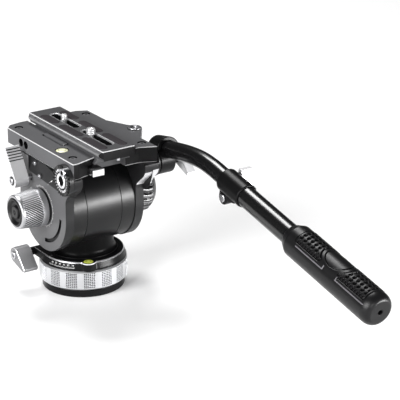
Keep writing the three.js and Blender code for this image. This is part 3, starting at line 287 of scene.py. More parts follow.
# Black anodised finish of the turned parts; on the holes and shaded walls of other parts it is painted shade.
black_and_painted_shade = metal("black_anodised_and_painted_shade", (0.004, 0.004, 0.0043), 0.3, grain=0.2, size=0.4, lathe=PAN_LINE,
                     shine=0.12)
base_disc = assemble("base_disc", [turned_ring([
    (INSERT_RADIUS, 0), (11.5, 0), (12.2, 0.6), (30, 0.6), (30.7, 0), (40.2, 0), (41, 0.8), (41, 7.2), (40.2, 8),
    (HUB_RADIUS, 8), (HUB_RADIUS, HUB_TOP), (HUB_BORE, HUB_TOP), (HUB_BORE, 8), (INSERT_RADIUS, 8),
], 0.3)], [black_and_painted_shade])
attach(base_disc, "base")
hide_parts("base_plate")

# Tripod socket: a turned steel insert with a 3/8 inch thread, pressed into the base disc from inside, so that its
# flange takes the pull of the tripod's screw.
THREE_EIGHTHS_PITCH = 1.5875
SOCKET_RADIUS = 4.9
SOCKET_TOP = 10.3


def helical_wall(root, crest, pitch, low, high, centre=(0, 0), count=64, per_turn=12):
    """A thread's wall: at angle t and height h the radius goes from root to crest with the triangle wave of
    h / pitch - t / 2 pi, and back to the root at both ends."""
    height = np.linspace(low, high, int((high - low) / pitch * per_turn))[None, :]
    angle = np.linspace(0, FULL_TURN, count, endpoint=False)[:, None]
    phase = (height / pitch - angle / FULL_TURN) % 1
    fade = np.clip(np.minimum(height - low, high - height) / (0.5 * pitch), 0, 1)
    radius = root + (crest - root) * (1 - np.abs(2 * phase - 1)) * fade
    return grid(polar(centre, radius, angle, height, "z"))


steel = metal("turned_steel", (0.52, 0.52, 0.54), 0.28, 1.0, grain=0.2, size=0.3)
socket_skin = rounded([
    (SOCKET_RADIUS, 0), (8, 0), (8, 8.3), (11, 8.3), (11, SOCKET_TOP), (SOCKET_RADIUS, SOCKET_TOP),
], 0.25)
socket = assemble("tripod_socket_insert", [
    turned(socket_skin, count=64), helical_wall(SOCKET_RADIUS, 4.2, THREE_EIGHTHS_PITCH, 0, SOCKET_TOP),
], [steel], crisp=40)
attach(socket, "base")
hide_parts("thread_insert")

# Clamp ring: bright turned aluminium that runs on the base's hub, with fifteen panels of short milled dashes between
# smooth bands. The dashes are painted dark as shade in their hollows.
RING_RADIUS, RING_BORE, RING_LOW = 43.6, 33.8, 8.3
PANELS = 15
PANEL_STEPS = 56
PANEL_SHARE = 36 / 56
DASH_COLUMNS = 6
DASH_ROWS = 9
DASH_DEPTH = 0.7
FIRST_ROW = 10.5
ROWS_HEIGHT = 16.0
DASHES_LOW, DASHES_HIGH = 10.4, 26.6


def dashes(angle, height):
    """1 inside a dash and 0 outside: inside a panel, the product of clipped cosines in angle and in height."""
    turn = (angle / FULL_TURN * PANELS) % 1
    low_end = np.clip((height - DASHES_LOW) / 0.2, 0, 1)
    high_end = np.clip((DASHES_HIGH - height) / 0.2, 0, 1)
    column = np.clip(1.7 - 1.6 * np.cos(FULL_TURN * turn / PANEL_SHARE * DASH_COLUMNS), 0, 1)
    row = np.clip(0.75 - 1.8 * np.cos(FULL_TURN * (height - FIRST_ROW) / ROWS_HEIGHT * DASH_ROWS), 0, 1)
    return (turn < PANEL_SHARE) * low_end * high_end * column * row


ring_metal = metal("ring_satin_aluminium", (0.62, 0.625, 0.64), 0.33, 0.85, mottle=0.05, grain=0.15, size=0.35,
                   lathe=PAN_LINE)
# The dashes' dark finish is painted shade.
dashes_painted_shade = metal("ring_dash_painted_shade", (0.012, 0.012, 0.013), 0.5, grain=0.2, shine=0.1)
ring_heights = np.concatenate([[9.9], np.linspace(FIRST_ROW, 26.5, 73), [26.9]])
ring_outer = np.concatenate([
    rounded([(34, RING_LOW), (41.8, RING_LOW), (RING_RADIUS, 9.9)], 0.3),
    np.stack([np.full(len(ring_heights), RING_RADIUS), ring_heights], -1),
    rounded([(RING_RADIUS, 26.9), (42, HUB_TOP), (34, HUB_TOP)], 0.3),
])
clamp_ring = assemble("knurled_clamp_ring", [
    turned(ring_outer, count=PANELS * PANEL_STEPS, swell=lambda t, h: -DASH_DEPTH * dashes(t, h),
           tint=lambda t, h: (dashes(t, h) > 0.4).astype(int)),
    turned([(34, HUB_TOP), (RING_BORE, 28.2), (RING_BORE, 8.6), (34, RING_LOW)], count=PANELS * PANEL_STEPS),
], [ring_metal, dashes_painted_shade], crisp=40)
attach(clamp_ring, "clamp_ring")
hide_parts("clamp_ring")

# Pan base: a black turned and milled aluminium cup with a conical wall, screwed to the hub. It has a boss that holds
# the level, and a tongue on its left that the lock screw runs in.
PAN_LOW, PAN_TOP = 28.8, 37.2
POCKET_RADIUS, POCKET_FLOOR = 31, 31.1
BOSS_TURN = -1.962
BOSS_OUT = 38.3
BOSS_RADIUS, BOSS_BORE = 7.0, 5.3
BOSS_MELT = 1.1
OFF_BOSS = 12
PAN_LOCK = (26.8, 33.2)
boss_centre = (BOSS_OUT * math.cos(BOSS_TURN), BOSS_OUT * math.sin(BOSS_TURN))


def wrapped(angle):
    """The angle brought between minus pi and pi."""
    return (angle + np.pi) % FULL_TURN - np.pi


def boss_outline(angle, radius):
    """Distance to the wall at each angle: the soft maximum of the cone's radius and of the boss's circle, which is
    d cos a + sqrt(r^2 - d^2 sin^2 a) away."""
    off = wrapped(angle - BOSS_TURN)
    inner = BOSS_RADIUS**2 - (BOSS_OUT * np.sin(off)) ** 2
    circle_reach = BOSS_OUT * np.cos(off) + np.sqrt(np.maximum(inner, 0))
    reach = np.where((inner > 0) & (np.abs(off) < 1), circle_reach, radius - OFF_BOSS)
    swollen = 0.5 * (radius + reach + np.sqrt((radius - reach) ** 2 + BOSS_MELT))
    return swollen - 0.5 * (np.sqrt(OFF_BOSS**2 + BOSS_MELT) - OFF_BOSS)


def flat(loops, height, axis, mark=0):
    """A flat face at a height between an outer loop and the holes in it, cut into triangles."""
    triangles = tessellate_polygon([[Vector((u, v, 0)) for u, v in loop] for loop in loops])
    points = np.concatenate(loops)
    heights = np.full(len(points), float(height))
    return along(points[:, 0], points[:, 1], heights, axis), np.array(triangles), mark


def wall(loops, heights, axis, mark=0):
    """A wall that joins loops of equally many points, each at its own height."""
    rings = [along(loop[:, 0], loop[:, 1], height, axis) for loop, height in zip(loops, heights)]
    return grid(np.stack(rings, 1), mark)


def arc(centre, radius, start, end, count):
    """Points of a circle's arc from one angle to another: centre plus radius times (cos t, sin t)."""
    turn = np.linspace(start, end, count)
    return np.stack([centre[0] + radius * np.cos(turn), centre[1] + radius * np.sin(turn)], -1)


def circle(radius, centre=(0, 0), count=64):
    """The points of a circle: an arc all the way round, without its last point."""
    return arc(centre, radius, 0, FULL_TURN, count + 1)[:-1]


def inset(loop, amount):
    """A closed loop moved inwards: each point goes along the mitre (n1 + n2) / (1 + n1.n2) of its edge normals."""
    edge = np.roll(loop, -1, axis=0) - loop
    normal = np.stack([edge[:, 1], -edge[:, 0]], -1) / np.hypot(*edge.T)[:, None]
    before = np.roll(normal, 1, axis=0)
    mitre = (normal + before) / (1 + (normal * before).sum(1))[:, None]
    return loop - amount * mitre


def anticlockwise(loop):
    """The loop in the order in which its area is positive, with repeated points left out."""
    loop = np.asarray(loop, float)
    loop = loop[np.hypot(*(loop - np.roll(loop, 1, axis=0)).T) > 1e-4]
    u, v = loop.T
    area = (u * np.roll(v, -1) - v * np.roll(u, -1)).sum()
    return loop if area > 0 else loop[::-1]


def prism(loop, low, high, axis, edge=0.5, steps=1, mark=0, edge_mark=None, hole_mark=None, top_mark=None,
          holes=(), facing=None):
    """A flat outline carried from low to high along an axis. At both ends the wall steps in by edge (1 - cos a)
    while it rises by edge sin a, in `steps` steps: one is a chamfer, more is a round. Each hole is (outline, depth,
    edge), cut from the high end, with a flared mouth; a depth of None goes right through. The rims, the holes and
    the high end can have finishes of their own. With facing = (u, v, finish, from_v) so can the walls above from_v
    whose outward normal is nearly (u, v)."""
    loop = anticlockwise(loop)
    edge_mark, hole_mark, top_mark = (mark if m is None else m for m in (edge_mark, hole_mark, top_mark))
    a = np.linspace(0, np.pi / 2, steps + 1)
    step_in, drop = edge * (1 - np.cos(a)), edge * (1 - np.sin(a))
    rims = np.stack([inset(loop, s) for s in step_in], 1)
    top = along(rims[..., 0], rims[..., 1], (high - drop)[None, :], axis)
    bottom = along(rims[..., 0], rims[..., 1], (low + drop)[None, :], axis)
    wall_mark = mark
    if facing is not None:
        u, v, finish, from_v = facing
        run = np.roll(loop, -1, axis=0) - loop
        turned_to = (run[:, 1] * u - run[:, 0] * v) / np.hypot(*run.T) > 0.9
        wall_mark = np.where(turned_to & (loop[:, 1] > from_v), finish, mark)
    side = grid(np.stack([bottom[:, 0], top[:, 0]], 1), wall_mark)
    patches = [grid(top, edge_mark), grid(bottom, edge_mark), side]
    top_loops, bottom_loops = [rims[:, -1]], [rims[:, -1]]
    for hole, depth, flare in holes:
        hole = anticlockwise(hole)
        mouth = inset(hole, -flare)
        end = low if depth is None else high - depth
        top_loops.append(mouth)
        patches.append(wall([mouth, hole], [high, high - flare], axis, edge_mark))
        patches.append(wall([hole, hole], [high - flare, end], axis, hole_mark))
        if depth is None:
            bottom_loops.append(hole)
        else:
            patches.append(flat([hole], end, axis, hole_mark))
    return patches + [flat(top_loops, high, axis, top_mark), flat(bottom_loops, low, axis, mark)]


# Bright metal of the rosettes' bore rings; on the rims and chamfers of other parts it is a painted highlight.
bright_ring_and_painted_highlight = metal("bright_ring_and_painted_edge_highlight", (0.80, 0.80, 0.82), 0.28, 0.9, grain=0.1, size=0.3)
pan_profile = rounded([(41.9, PAN_LOW), (43, 29), (43, 30.1), (42.6, 30.4), (40.9, 36.2), (40.0, PAN_TOP)], 0.3)
pan_angle = np.linspace(0, FULL_TURN, 900, endpoint=False)[:, None]
pan_radius = boss_outline(pan_angle, pan_profile[:, 0][None, :])
pan_wall = polar((0, 0), pan_radius, pan_angle, pan_profile[:, 1][None, :], "z")
pan_rim, pan_foot = pan_wall[:, -1, :2] / MM, pan_wall[:, 0, :2] / MM
tongue_loop = np.concatenate([
    [(-40.7, -3), (-40.7, 28.2), (-29.5, 28.2)], arc((0, 0), 36, 2.53, 3.22, 24),
])
# The cone's top rows and the tongue's rims are painted bright as a highlight.
pan_base = assemble("pan_base_cup", [
    grid(pan_wall[:, :-3]), grid(pan_wall[:, -4:], 1),
    flat([pan_rim, circle(POCKET_RADIUS, count=180), circle(BOSS_BORE, boss_centre)], PAN_TOP, "z"),
    *prism(tongue_loop, PAN_LOW, 37.25, "z", edge=0.4, edge_mark=1),
    turned([(POCKET_RADIUS, PAN_TOP), (POCKET_RADIUS, POCKET_FLOOR), (INSERT_RADIUS, POCKET_FLOOR)], count=180),
    turned([(INSERT_RADIUS, POCKET_FLOOR), (INSERT_RADIUS, PAN_LOW)], count=180),
    flat([pan_foot, circle(INSERT_RADIUS, count=180)], PAN_LOW, "z"),
    turned([(BOSS_BORE, PAN_TOP), (BOSS_BORE, 33.9), (0, 33.9)], centre=boss_centre, count=64),
    turned(rounded([(0, -28), (4.1, -28), (4.1, -45), (2.6, -45), (2.6, -31)], 0.3), "x", PAN_LOCK, count=48),
], [black_and_painted_shade, bright_ring_and_painted_highlight], crisp=34)
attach(pan_base, "base")
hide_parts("pan_base")

# Pan scale: fine white ticks and plain numbers, printed in slightly worn ink on the cone of the pan base, left of
# the level.
INK_LIFT = 0.06
CONE_SLOPE = 1.7 / 5.8
SCALE_MIDDLE = BOSS_TURN - 0.66
SCALE_RADIUS = 42.0
ink, ink_shader = blank_material("white_scale_ink", {"Roughness": 0.6})
ink_wear = add_node(ink, "TexNoise", {"Vector": add_node(ink, "TexCoord", {}).outputs["Object"], "Scale": 2500})
ink_tone = add_node(ink, "MapRange", {"Value": ink_wear.outputs["Fac"], "To Min": 0.45, "To Max": 0.95})
feed(ink, ink_shader, {"Base Color": ink_tone.outputs["Result"]})


def numbers(words, size):
    """The outlines of printed words as a flat mesh, `size` mm high, centred on the origin: points and faces."""
    curve = bpy.data.curves.new("number", "FONT")
    curve.body = words
    curve.size = size
    curve.align_x = "CENTER"
    curve.align_y = "CENTER"
    curve.resolution_u = 2
    text = put_in_scene("number", curve)
    bpy.context.view_layer.update()
    mesh = bpy.data.meshes.new_from_object(text.evaluated_get(bpy.context.evaluated_depsgraph_get()))
    points = np.array([v.co[:] for v in mesh.vertices]).reshape(-1, 3)
    faces = [list(p.vertices) for p in mesh.polygons]
    bpy.data.objects.remove(text)
    return points[:, :2], faces


def print_on(name, marks, carry):
    """Printed marks as one thin mesh. marks holds (points, faces) on a flat sheet, and carry bends the sheet's
    (u, v) onto the surface that they are printed on."""
    points, faces, start = [], [], 0
    for flat_points, flat_faces in marks:
        points.append(carry(flat_points[:, 0], flat_points[:, 1]))
        faces += [[c + start for c in face] for face in flat_faces]
        start += len(flat_points)
    mesh = bpy.data.meshes.new(name)
    mesh.from_pydata(np.concatenate(points).tolist(), [], faces)
    mesh.materials.append(ink)
    return put_in_scene(name, mesh)


def four_corners(*corners):
    """One printed mark with four corners, in their order."""
    return np.array(corners), [[0, 1, 2, 3]]


def tick(u, v, width, height):
    """One printed tick: a small rectangle with its middle at (u, v)."""
    return four_corners(*(UNIT_SQUARE * (width / 2, height / 2) + (u, v)))


def moved(mark, u, v):
    """A mark shifted by (u, v) on its sheet."""
    return mark[0] + (u, v), mark[1]


def on_cone(u, v):
    """The sheet's u runs round the cone as arc length from the scale's middle, and v up its wall."""
    height = 33.3 + v
    radius = 42.6 - (height - 30.4) * CONE_SLOPE + INK_LIFT
    return polar((0, 0), radius, SCALE_MIDDLE + u / SCALE_RADIUS, height, "z")


scale_marks = [tick(u, -1.75 if i % 5 else -1.5, 0.26, 0.8 if i % 5 else 1.3)
               for i, u in enumerate(np.arange(-15, 13.1, 0.8))]
scale_marks += [moved(numbers(str(n), 2.3), u, 0.7) for n, u in zip(range(60, 0, -10), np.arange(-11.5, 13, 4.6))]
pan_scale = print_on("pan_scale", scale_marks, on_cone)
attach(pan_scale, "base")

# Level in the pan base: a clear acrylic disc over yellow-green fluid, with its bubble and a black ring line, glued
# into the boss.
FLUID_REACH = 8


def level_fluid(name, colour, centre, ring, bubble):
    """The level's fluid seen through its window: a painted highlight bright in the middle, painted shade darker to
    the rim, a black ring line at radius `ring` and a pale bubble of radius `bubble`, all as distances from the centre
    in mm."""
    made, shader = blank_material(name, {"Roughness": 0.12, "Coat Weight": 0.6})
    place = add_node(made, "TexCoord", {}).outputs["Object"]
    middle = (centre[0] * MM, centre[1] * MM, 0)
    shifted = add_node(made, "VectorMath", {0: place, 1: middle}, operation="SUBTRACT")
    flattened = add_node(made, "VectorMath", {0: shifted.outputs["Vector"], 1: (1, 1, 0)}, operation="MULTIPLY")
    away = add_node(made, "VectorMath", {0: flattened.outputs["Vector"]}, operation="LENGTH")
    bands = add_node(made, "MapRange", {"Value": away.outputs["Value"], "From Max": FLUID_REACH * MM})
    ramp = add_node(made, "ValToRGB", {"Fac": bands.outputs["Result"]})
    line = ring / FLUID_REACH
    stops = [
        (0, [min(1, c * 1.25 + 0.1) for c in colour]), (bubble / FLUID_REACH, colour), (line - 0.03, colour),
        (line, [0.02, 0.02, 0.02]), (line + 0.06, colour), (0.8, [c * 0.7 for c in colour]),
    ]
    while len(ramp.color_ramp.elements) < len(stops):
        ramp.color_ramp.elements.new(0.5)
    for element, (share, tint) in zip(ramp.color_ramp.elements, stops):
        element.position = share
        element.color = (*tint, 1)
    feed(made, shader, {"Base Color": ramp.outputs["Color"]})
    return made


base_level = assemble("base_level", [
    turned(rounded([(0, 34.2), (5, 34.2), (5, 36.9), (3.6, 37.3), (0, 37.5)], 0.3), centre=boss_centre, count=64),
], [level_fluid("base_level_fluid", (0.60, 0.66, 0.10), boss_centre, 2.4, 1.5)], crisp=50)
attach(base_level, "base")
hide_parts("base_level_vial")

# Inner parts: the friction disc, bearing, shaft, nut, axle, drag discs, arbor and springs keep their solids, in
# bright turned steel.
for node in ("pan_friction_disc", "pan_bearing", "pan_shaft", "pan_shaft_nut", "tilt_axle", "tilt_drag_stator",
             "counterbalance_spring", "release_button_spring", "spring_arbor", "tilt_drag_rotor"):
    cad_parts[node].data.materials.clear()
    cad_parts[node].data.materials.append(steel)

# Pan lock lever: a dark cast wing lever whose edges are painted light as a highlight, fixed on a steel screw with a
# bright end and a hexagon socket. The screw runs in the tongue of the pan base.
WING_SHOULDER = 0.47 * np.pi
SCREW_STEPS = 96
SCREW_RIM = 0.35
SOCKET_MOUTH = 1.12


def turning(angle):
    """The matrix that turns rows of (u, v) by this angle."""
    return np.array([[math.cos(angle), math.sin(angle)], [-math.sin(angle), math.cos(angle)]])


def wing_lever(angle, boss, length, tip, centre, low, high, corner=1.0, edge=0.5, steps=1):
    """A wing lever from low to high along X. Its outline is an arc of the boss round its centre, and two straight
    edges to a rounded tip; its rims have finish 1, a painted highlight."""
    round_end = arc((0, 0), boss, WING_SHOULDER, FULL_TURN - WING_SHOULDER, 40)
    tip_points = [round_end[-1], (length, -tip / 2), (length, tip / 2), round_end[0]]
    loop = np.concatenate([round_end, rounded(tip_points, corner, steps=4)[1:-1]]) @ turning(angle) + centre
    return prism(loop, low, high, "x", edge=edge, steps=steps, edge_mark=1)


def hexagon_turned(rows, socket_radius, centre, axis, count, mark=0):
    """A turned surface with a hexagon in it. At angle t the row (r, share, h) is r + share s away from the centre at
    height h, where s is socket_radius cos 30 / cos(angle from the middle of the nearest flat)."""
    angle = np.linspace(0, FULL_TURN, count, endpoint=False)[:, None]
    flat_turn = (angle + np.pi / 6) % (np.pi / 3) - np.pi / 6
    hexagon = socket_radius * math.cos(math.pi / 6) / np.cos(flat_turn)
    radius, share, height = np.array(rows, float).T[:, None, :]
    return grid(polar(centre, radius + share * hexagon, angle, height, axis), mark)


def socket_screw(radius, socket_radius, face, top, centre, side, mark=0):
    """A screw end along X on one side of the head: a turned rim, and a hexagon socket with the finish `mark`."""
    rows = [
        (0, 0, face), (radius, 0, face), (radius, 0, top - SCREW_RIM), (radius - SCREW_RIM, 0, top),
        (0, SOCKET_MOUTH, top), (0, 1, top - 0.25), (0, 1, top - 1.6), (0, 0, top - 2.0),
    ]
    marks = np.tile(np.array([0, 0, 0, 0, 1, 1, 1]) * mark, SCREW_STEPS)
    return hexagon_turned(np.array(rows) * (1, 1, side), socket_radius, centre, "x", SCREW_STEPS, marks)


dark_lever = metal("grey_lever_anodised", (0.20, 0.20, 0.205), 0.42, 0.4, grain=0.2, size=0.3)
lever_rims_painted_highlight = metal("grey_lever_painted_highlight_rims", (0.62, 0.62, 0.63), 0.35, 0.5, grain=0.1, size=0.3)
pan_lever = assemble("pan_lock_wing", wing_lever(-2.6, 8, 22, 4, PAN_LOCK, -63, -47, edge=0.55),
                     [dark_lever, lever_rims_painted_highlight])
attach(pan_lever, "pan_lock")
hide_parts("pan_lock_lever")
pan_screw = assemble("pan_lock_screw_end", [
    socket_screw(4, 2.0, 62.4, 64.3, PAN_LOCK, -1),
    turned(rounded([(0, -62.6), (2.3, -62.6), (2.3, -31.3), (0, -31.3)], 0.2), "x", PAN_LOCK, count=32),
], [steel], crisp=35)
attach(pan_screw, "pan_lock")
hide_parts("pan_lock_screw")

# Pan housing: one black aluminium casting, a flared neck under the middle of the drum, turned and anodised. It turns
# on the pan shaft and carries the tilt axle.
TILT_AXIS = (0, 90)
TILT_LINE = ("x", (0, 0, 90))
AXLE_BORE = 7.3
DRUM_RADIUS, DRUM_POCKET = 44.2, 38.2
DRUM_HALF, WEB_HALF = 19.1, 8.1
black_drum = metal("black_anodised_drum", (0.004, 0.004, 0.0043), 0.33, grain=0.1, size=0.5, lathe=TILT_LINE,
                   shine=0.28)
# The neck's finish is a darker, duller copy of the drum's black: painted shade.
neck_painted_shade_black = metal("black_neck_painted_shade", (0.002, 0.002, 0.0021), 0.3, grain=0.15, size=0.4, lathe=PAN_LINE,
                   shine=0.04)
flare_turn = np.linspace(0, np.pi / 2, 14)
neck_profile = np.concatenate([
    [(0, 37.5)], rounded([(34.4, 37.5), (34.5, 37.8), (34.5, 38.6)], 0.2),
    np.stack([34.3 - 3.8 * np.sin(flare_turn), 38.9 + 5.6 * (1 - np.cos(flare_turn))], -1),
    [(30.5, 70), (0, 70)],
])
neck = assemble("pan_neck", [turned(neck_profile, count=240)], [neck_painted_shade_black], crisp=34)
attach(neck, "pan_stage")
drum = assemble("drum_middle", [turned_ring([
    (AXLE_BORE, -WEB_HALF), (DRUM_POCKET, -WEB_HALF), (DRUM_POCKET, -DRUM_HALF), (DRUM_RADIUS, -DRUM_HALF),
    (DRUM_RADIUS, DRUM_HALF), (DRUM_POCKET, DRUM_HALF), (DRUM_POCKET, WEB_HALF), (AXLE_BORE, WEB_HALF),
], 0.35, axis="x", centre=TILT_AXIS, count=320)], [black_drum], crisp=34)
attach(drum, "pan_stage")
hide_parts("pan_housing")

# Drum rings: a black turned ring, screwed on from inside at each side of the housing, closes the drag and the
# counterbalance chambers.
DRUM_RING_IN, DRUM_RING_OUT = 19.4, 34
for side, node in ((-1, "left_drum_ring"), (1, "right_drum_ring")):
    drum_ring = assemble(node + "_turned", [turned_ring([
        (DRUM_POCKET, side * DRUM_RING_IN), (DRUM_RADIUS, side * DRUM_RING_IN),
        (DRUM_RADIUS, side * DRUM_RING_OUT), (DRUM_POCKET, side * DRUM_RING_OUT),
    ], 0.35, axis="x", centre=TILT_AXIS, count=320)], [black_drum], crisp=34)
    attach(drum_ring, "pan_stage")
    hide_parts(node)

# Side plates: black cast discs round the tilt axis that rise into arms under the platform. A long flat bevel thins
# the upper outer face. The right one carries a boss for the pan bar's rosette, faired into the rear arm.
CHEEK_IN, CHEEK_OUT = 34.3, 43.7
CHEEK_RADIUS = 45.2
CHEEK_TOP = 134.4
ARM_ANGLE = 0.877
ROSETTE = (-48, 132)
CLAMP_PIN = (22.6, 113)
TILT_LOCK = (33, 112)
CUT_EDGE = 0.01
cheek_metal = metal("black_cast_cheek", (0.013, 0.013, 0.0137), 0.36, mottle=0.15, grain=0.25, size=0.35, shine=0.2)
cheek_painted_highlight = metal("cheek_fairing_painted_highlight", (0.48, 0.48, 0.49), 0.4, 0.25, mottle=0.1, grain=0.2, size=0.35)
# The left plate's outer face is painted lighter: painted light.
outer_face_painted_light = metal("left_cheek_outer_painted_light", (0.085, 0.085, 0.088), 0.42, mottle=0.1, grain=0.2, size=0.35,
                   shine=0.25)


def bevel_cutter(side):
    """The space over a side plate's bevel: a wedge along Y from y = -31 to 26, whose lower edge climbs with y."""
    section = [(side * u, v) for u, v in ((45, 117.2), (43.7, 117.2), (39.7, 134.6), (39.7, 137), (45, 137))]
    climb = np.array([0, 0, 0.075])
    leaning = [(points + (points[:, 1:2] + 0.0025) * climb, faces, mark)
               for points, faces, mark in prism(section, -31, 26, "y", edge=CUT_EDGE)]
    return assemble("bevel_cutter", leaning, [cheek_metal, cheek_painted_highlight])


def carve(target, *cutters):
    """Takes the cutters' space out of the target; the cut faces keep the cutter's finish."""
    for cutter in cutters:
        cut = target.modifiers.new("cut", "BOOLEAN")
        cut.operation = "DIFFERENCE"
        cut.solver = "EXACT"
        cut.object = cutter
        cut.material_mode = "TRANSFER"
        cutter.modifiers.clear()
    shading = target.modifiers["flat faces shade flat"]
    shading.show_viewport = False
    bpy.context.view_layer.update()
    cut_mesh = bpy.data.meshes.new_from_object(target.evaluated_get(bpy.context.evaluated_depsgraph_get()))
    shading.show_viewport = True
    for modifier in [m for m in target.modifiers if m.type == "BOOLEAN"]:
        target.modifiers.remove(modifier)
    target.data = cut_mesh
    cut_mesh.polygons.foreach_set("use_smooth", np.ones(len(cut_mesh.polygons), bool))
    cut_mesh.set_sharp_from_angle(angle=math.radians(32))
    for cutter in cutters:
        bpy.data.objects.remove(cutter)


cheek_bend = 120.47 - 12.39 / math.tan(ARM_ANGLE)
cheek_loop = np.concatenate([
    arc(TILT_AXIS, CHEEK_RADIUS, np.pi, FULL_TURN + 0.484, 170), [(50, CHEEK_TOP), (8, CHEEK_TOP), (-24, 127.5)],
    arc(ROSETTE, 15, -0.305, 0.161, 8), arc(ROSETTE, 15, np.pi - 0.161, np.pi + ARM_ANGLE, 24),
    rounded([(-57.59, 120.47), (-CHEEK_RADIUS, cheek_bend), (-CHEEK_RADIUS, 95)], 5, steps=6)[1:-1],
])
groove_loop = np.concatenate([arc(TILT_AXIS, 36.2, -3.04, -1.64, 40), arc(TILT_AXIS, 32.6, -1.64, -3.04, 40)])
axle_hole = (circle(AXLE_BORE, TILT_AXIS), None, 0.1)
# The left plate's holes and groove are painted black as shade, and its outer face has painted light.
left_walls = prism(
    cheek_loop, CHEEK_IN, CHEEK_OUT, "x", steps=2, hole_mark=2, top_mark=3,
    holes=[axle_hole, (groove_loop, 1.5, 0.15), (circle(3.3, CLAMP_PIN), None, 0.2)],
)
left_cheek = assemble("left_cheek", [(points * (-1, 1, 1), faces, mark) for points, faces, mark in left_walls],
                      [cheek_metal, cheek_painted_highlight, black_and_painted_shade, outer_face_painted_light], crisp=32)
carve(left_cheek, bevel_cutter(-1))
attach(left_cheek, "tilt_cradle")
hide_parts("left_side_plate")
# The right plate's walls that face back and down, above z = 100, are painted light grey as a highlight.
right_cheek = assemble("right_cheek", prism(
    cheek_loop, CHEEK_IN, CHEEK_OUT, "x", steps=2, facing=(-0.69, -0.72, 1, 100),
    holes=[axle_hole, (circle(3.3, TILT_LOCK), None, 0.2)],
), [cheek_metal, cheek_painted_highlight], crisp=32)
carve(right_cheek, bevel_cutter(1))
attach(right_cheek, "tilt_cradle")
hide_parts("right_side_plate")

# The boss's radius swells towards the plate by a bell curve of the angle, and its lower rear faces are painted light
# grey as a highlight.
fairing_turn = np.linspace(0, FULL_TURN, 120, endpoint=False)[:, None]
fairing_rise = np.linspace(0, 1, 14)[None, :]
fairing_bell = np.exp(-(wrapped(fairing_turn + 1.35) / 0.8) ** 2)
fairing_radius = 14.9 + 13.5 * (1 - fairing_rise) ** 1.1 * fairing_bell
fairing = along(ROSETTE[0] + fairing_radius * np.cos(fairing_turn),
                np.minimum(ROSETTE[1] + fairing_radius * np.sin(fairing_turn), 134.3),
                43.4 + 6.9 * fairing_rise, "x")
painted_highlight_on_fairing = np.abs(wrapped(fairing_turn + 1.95)) < 0.95
rosette_boss = assemble("right_cheek_boss", [
    grid(fairing, np.repeat(painted_highlight_on_fairing.astype(int), fairing.shape[1] - 1)),
    flat([fairing[:, 0, 1:] / MM], 43.4, "x"), flat([fairing[:, -1, 1:] / MM], 50.3, "x"),
], [cheek_metal, cheek_painted_highlight], crisp=40)
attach(rosette_boss, "tilt_cradle")

# Drag scale: fine white ticks printed on the left side plate round the knob, and an index line above them. They
# follow the plate's face and its bevel.
PRINT_X = -43.76
BEVEL_SLOPE = 0.23


def on_cheek(u, v):
    """The sheet's u turns round the tilt axis as an angle and v is the distance from it; above the crease the face
    goes inwards by 0.23 of the height."""
    y, z = TILT_AXIS[0] + v * np.cos(u), TILT_AXIS[1] + v * np.sin(u)
    return along(y, z, PRINT_X + BEVEL_SLOPE * np.maximum(0, z - 117.4 - 0.075 * y), "x")


def polar_tick(turn, near, far, width):
    """A tick along the radius at an angle, from near to far, `width` mm wide."""
    half = width / 2 / near
    return four_corners((turn - half, near), (turn + half, near), (turn + half, far), (turn - half, far))


index_turn, index_end = math.atan2(25.9, -12.4), math.atan2(31, -18.6)
drag_marks = [polar_tick(math.radians(a), 19.2, 20.3 if i % 5 else 21.2, 0.4)
              for i, a in enumerate(np.arange(60, 300.1, 3.5))]
drag_marks += [
    four_corners((index_turn, 28.3), (index_turn - 0.035, 28.6), (index_end - 0.025, 36.6), (index_end, 36.2)),
    four_corners((0.45, 24.9), (0.52, 24.9), (0.52, 25.8), (0.45, 25.8)),
]
drag_scale = print_on("drag_scale", drag_marks, on_cheek)
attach(drag_scale, "tilt_cradle")

# Side plate screws: two small button screws of steel painted darker as shade, above the knob, which hold the left
# side plate to the platform.
screw_painted_shade = metal("screw_steel_painted_shade", (0.24, 0.24, 0.25), 0.35, 0.8, grain=0.2, size=0.3)
for node, place, seat in (("side_plate_screw_front", (16.1, 128.7), -41.9),
                          ("side_plate_screw_rear", (3.8, 119.5), -44.0)):
    dome = assemble(node + "_head", [turned(rounded([
        (0, seat + 1), (2.4, seat + 1), (2.4, seat - 0.7), (1.5, seat - 1.5), (1.0, seat - 1.55), (0.9, seat - 0.8),
        (0, seat - 0.7),
    ], 0.3), "x", place, count=40)], [screw_painted_shade], crisp=40)
    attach(dome, "tilt_cradle")
    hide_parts(node)

# Platform: a milled aluminium block, dark anodised after its edges were broken, with a dovetail channel for the
# camera plate, a slot for the clamp jaw, a window for the level, two ports on its left and an ear on its right. Its
# rims are painted white as a highlight, and its rear walls and the walls of the slot, pocket, window, ports and
# recesses are painted black as shade.
PLATFORM_LOW, PLATFORM_TOP = 134.7, 150.6
CHANNEL_FLOOR = 144.3
JAW_FLOOR = 144.35
LEVEL_PLACE = (-31.3, -19.2)
EAR_PLACE = (59.5, -3.5)
RECESSES = [(-33.6, -43.5), (-33.6, 62), (43, -43.5), (43, 62)]
# Walls facing minus v get finish 2, black, as painted shade.
PAINTED_SHADE_TOWARDS_MINUS_V = (0, -1, 2, -1000)


def box_loop(u0, u1, v0, v1, corner=0.0):
    """A rectangle's outline, with its corners rounded if asked."""
    corners = [(u0, v0), (u1, v0), (u1, v1), (u0, v1)]
    return rounded(corners, corner, closed=True) if corner else np.array(corners, float)


def platform_cutter(patches):
    """A cutter that leaves the platform's own finishes behind."""
    return assemble("platform_cutter", patches, platform_finishes)


def block_cutter(loop, low, high, axis="z", mark=2):
    """A cutter with sharp edges for the platform: an outline carried from low to high. Its faces take finish 2,
    black, as painted shade, unless another mark is given.
    """
    return platform_cutter(prism(loop, low, high, axis, edge=CUT_EDGE, mark=mark))


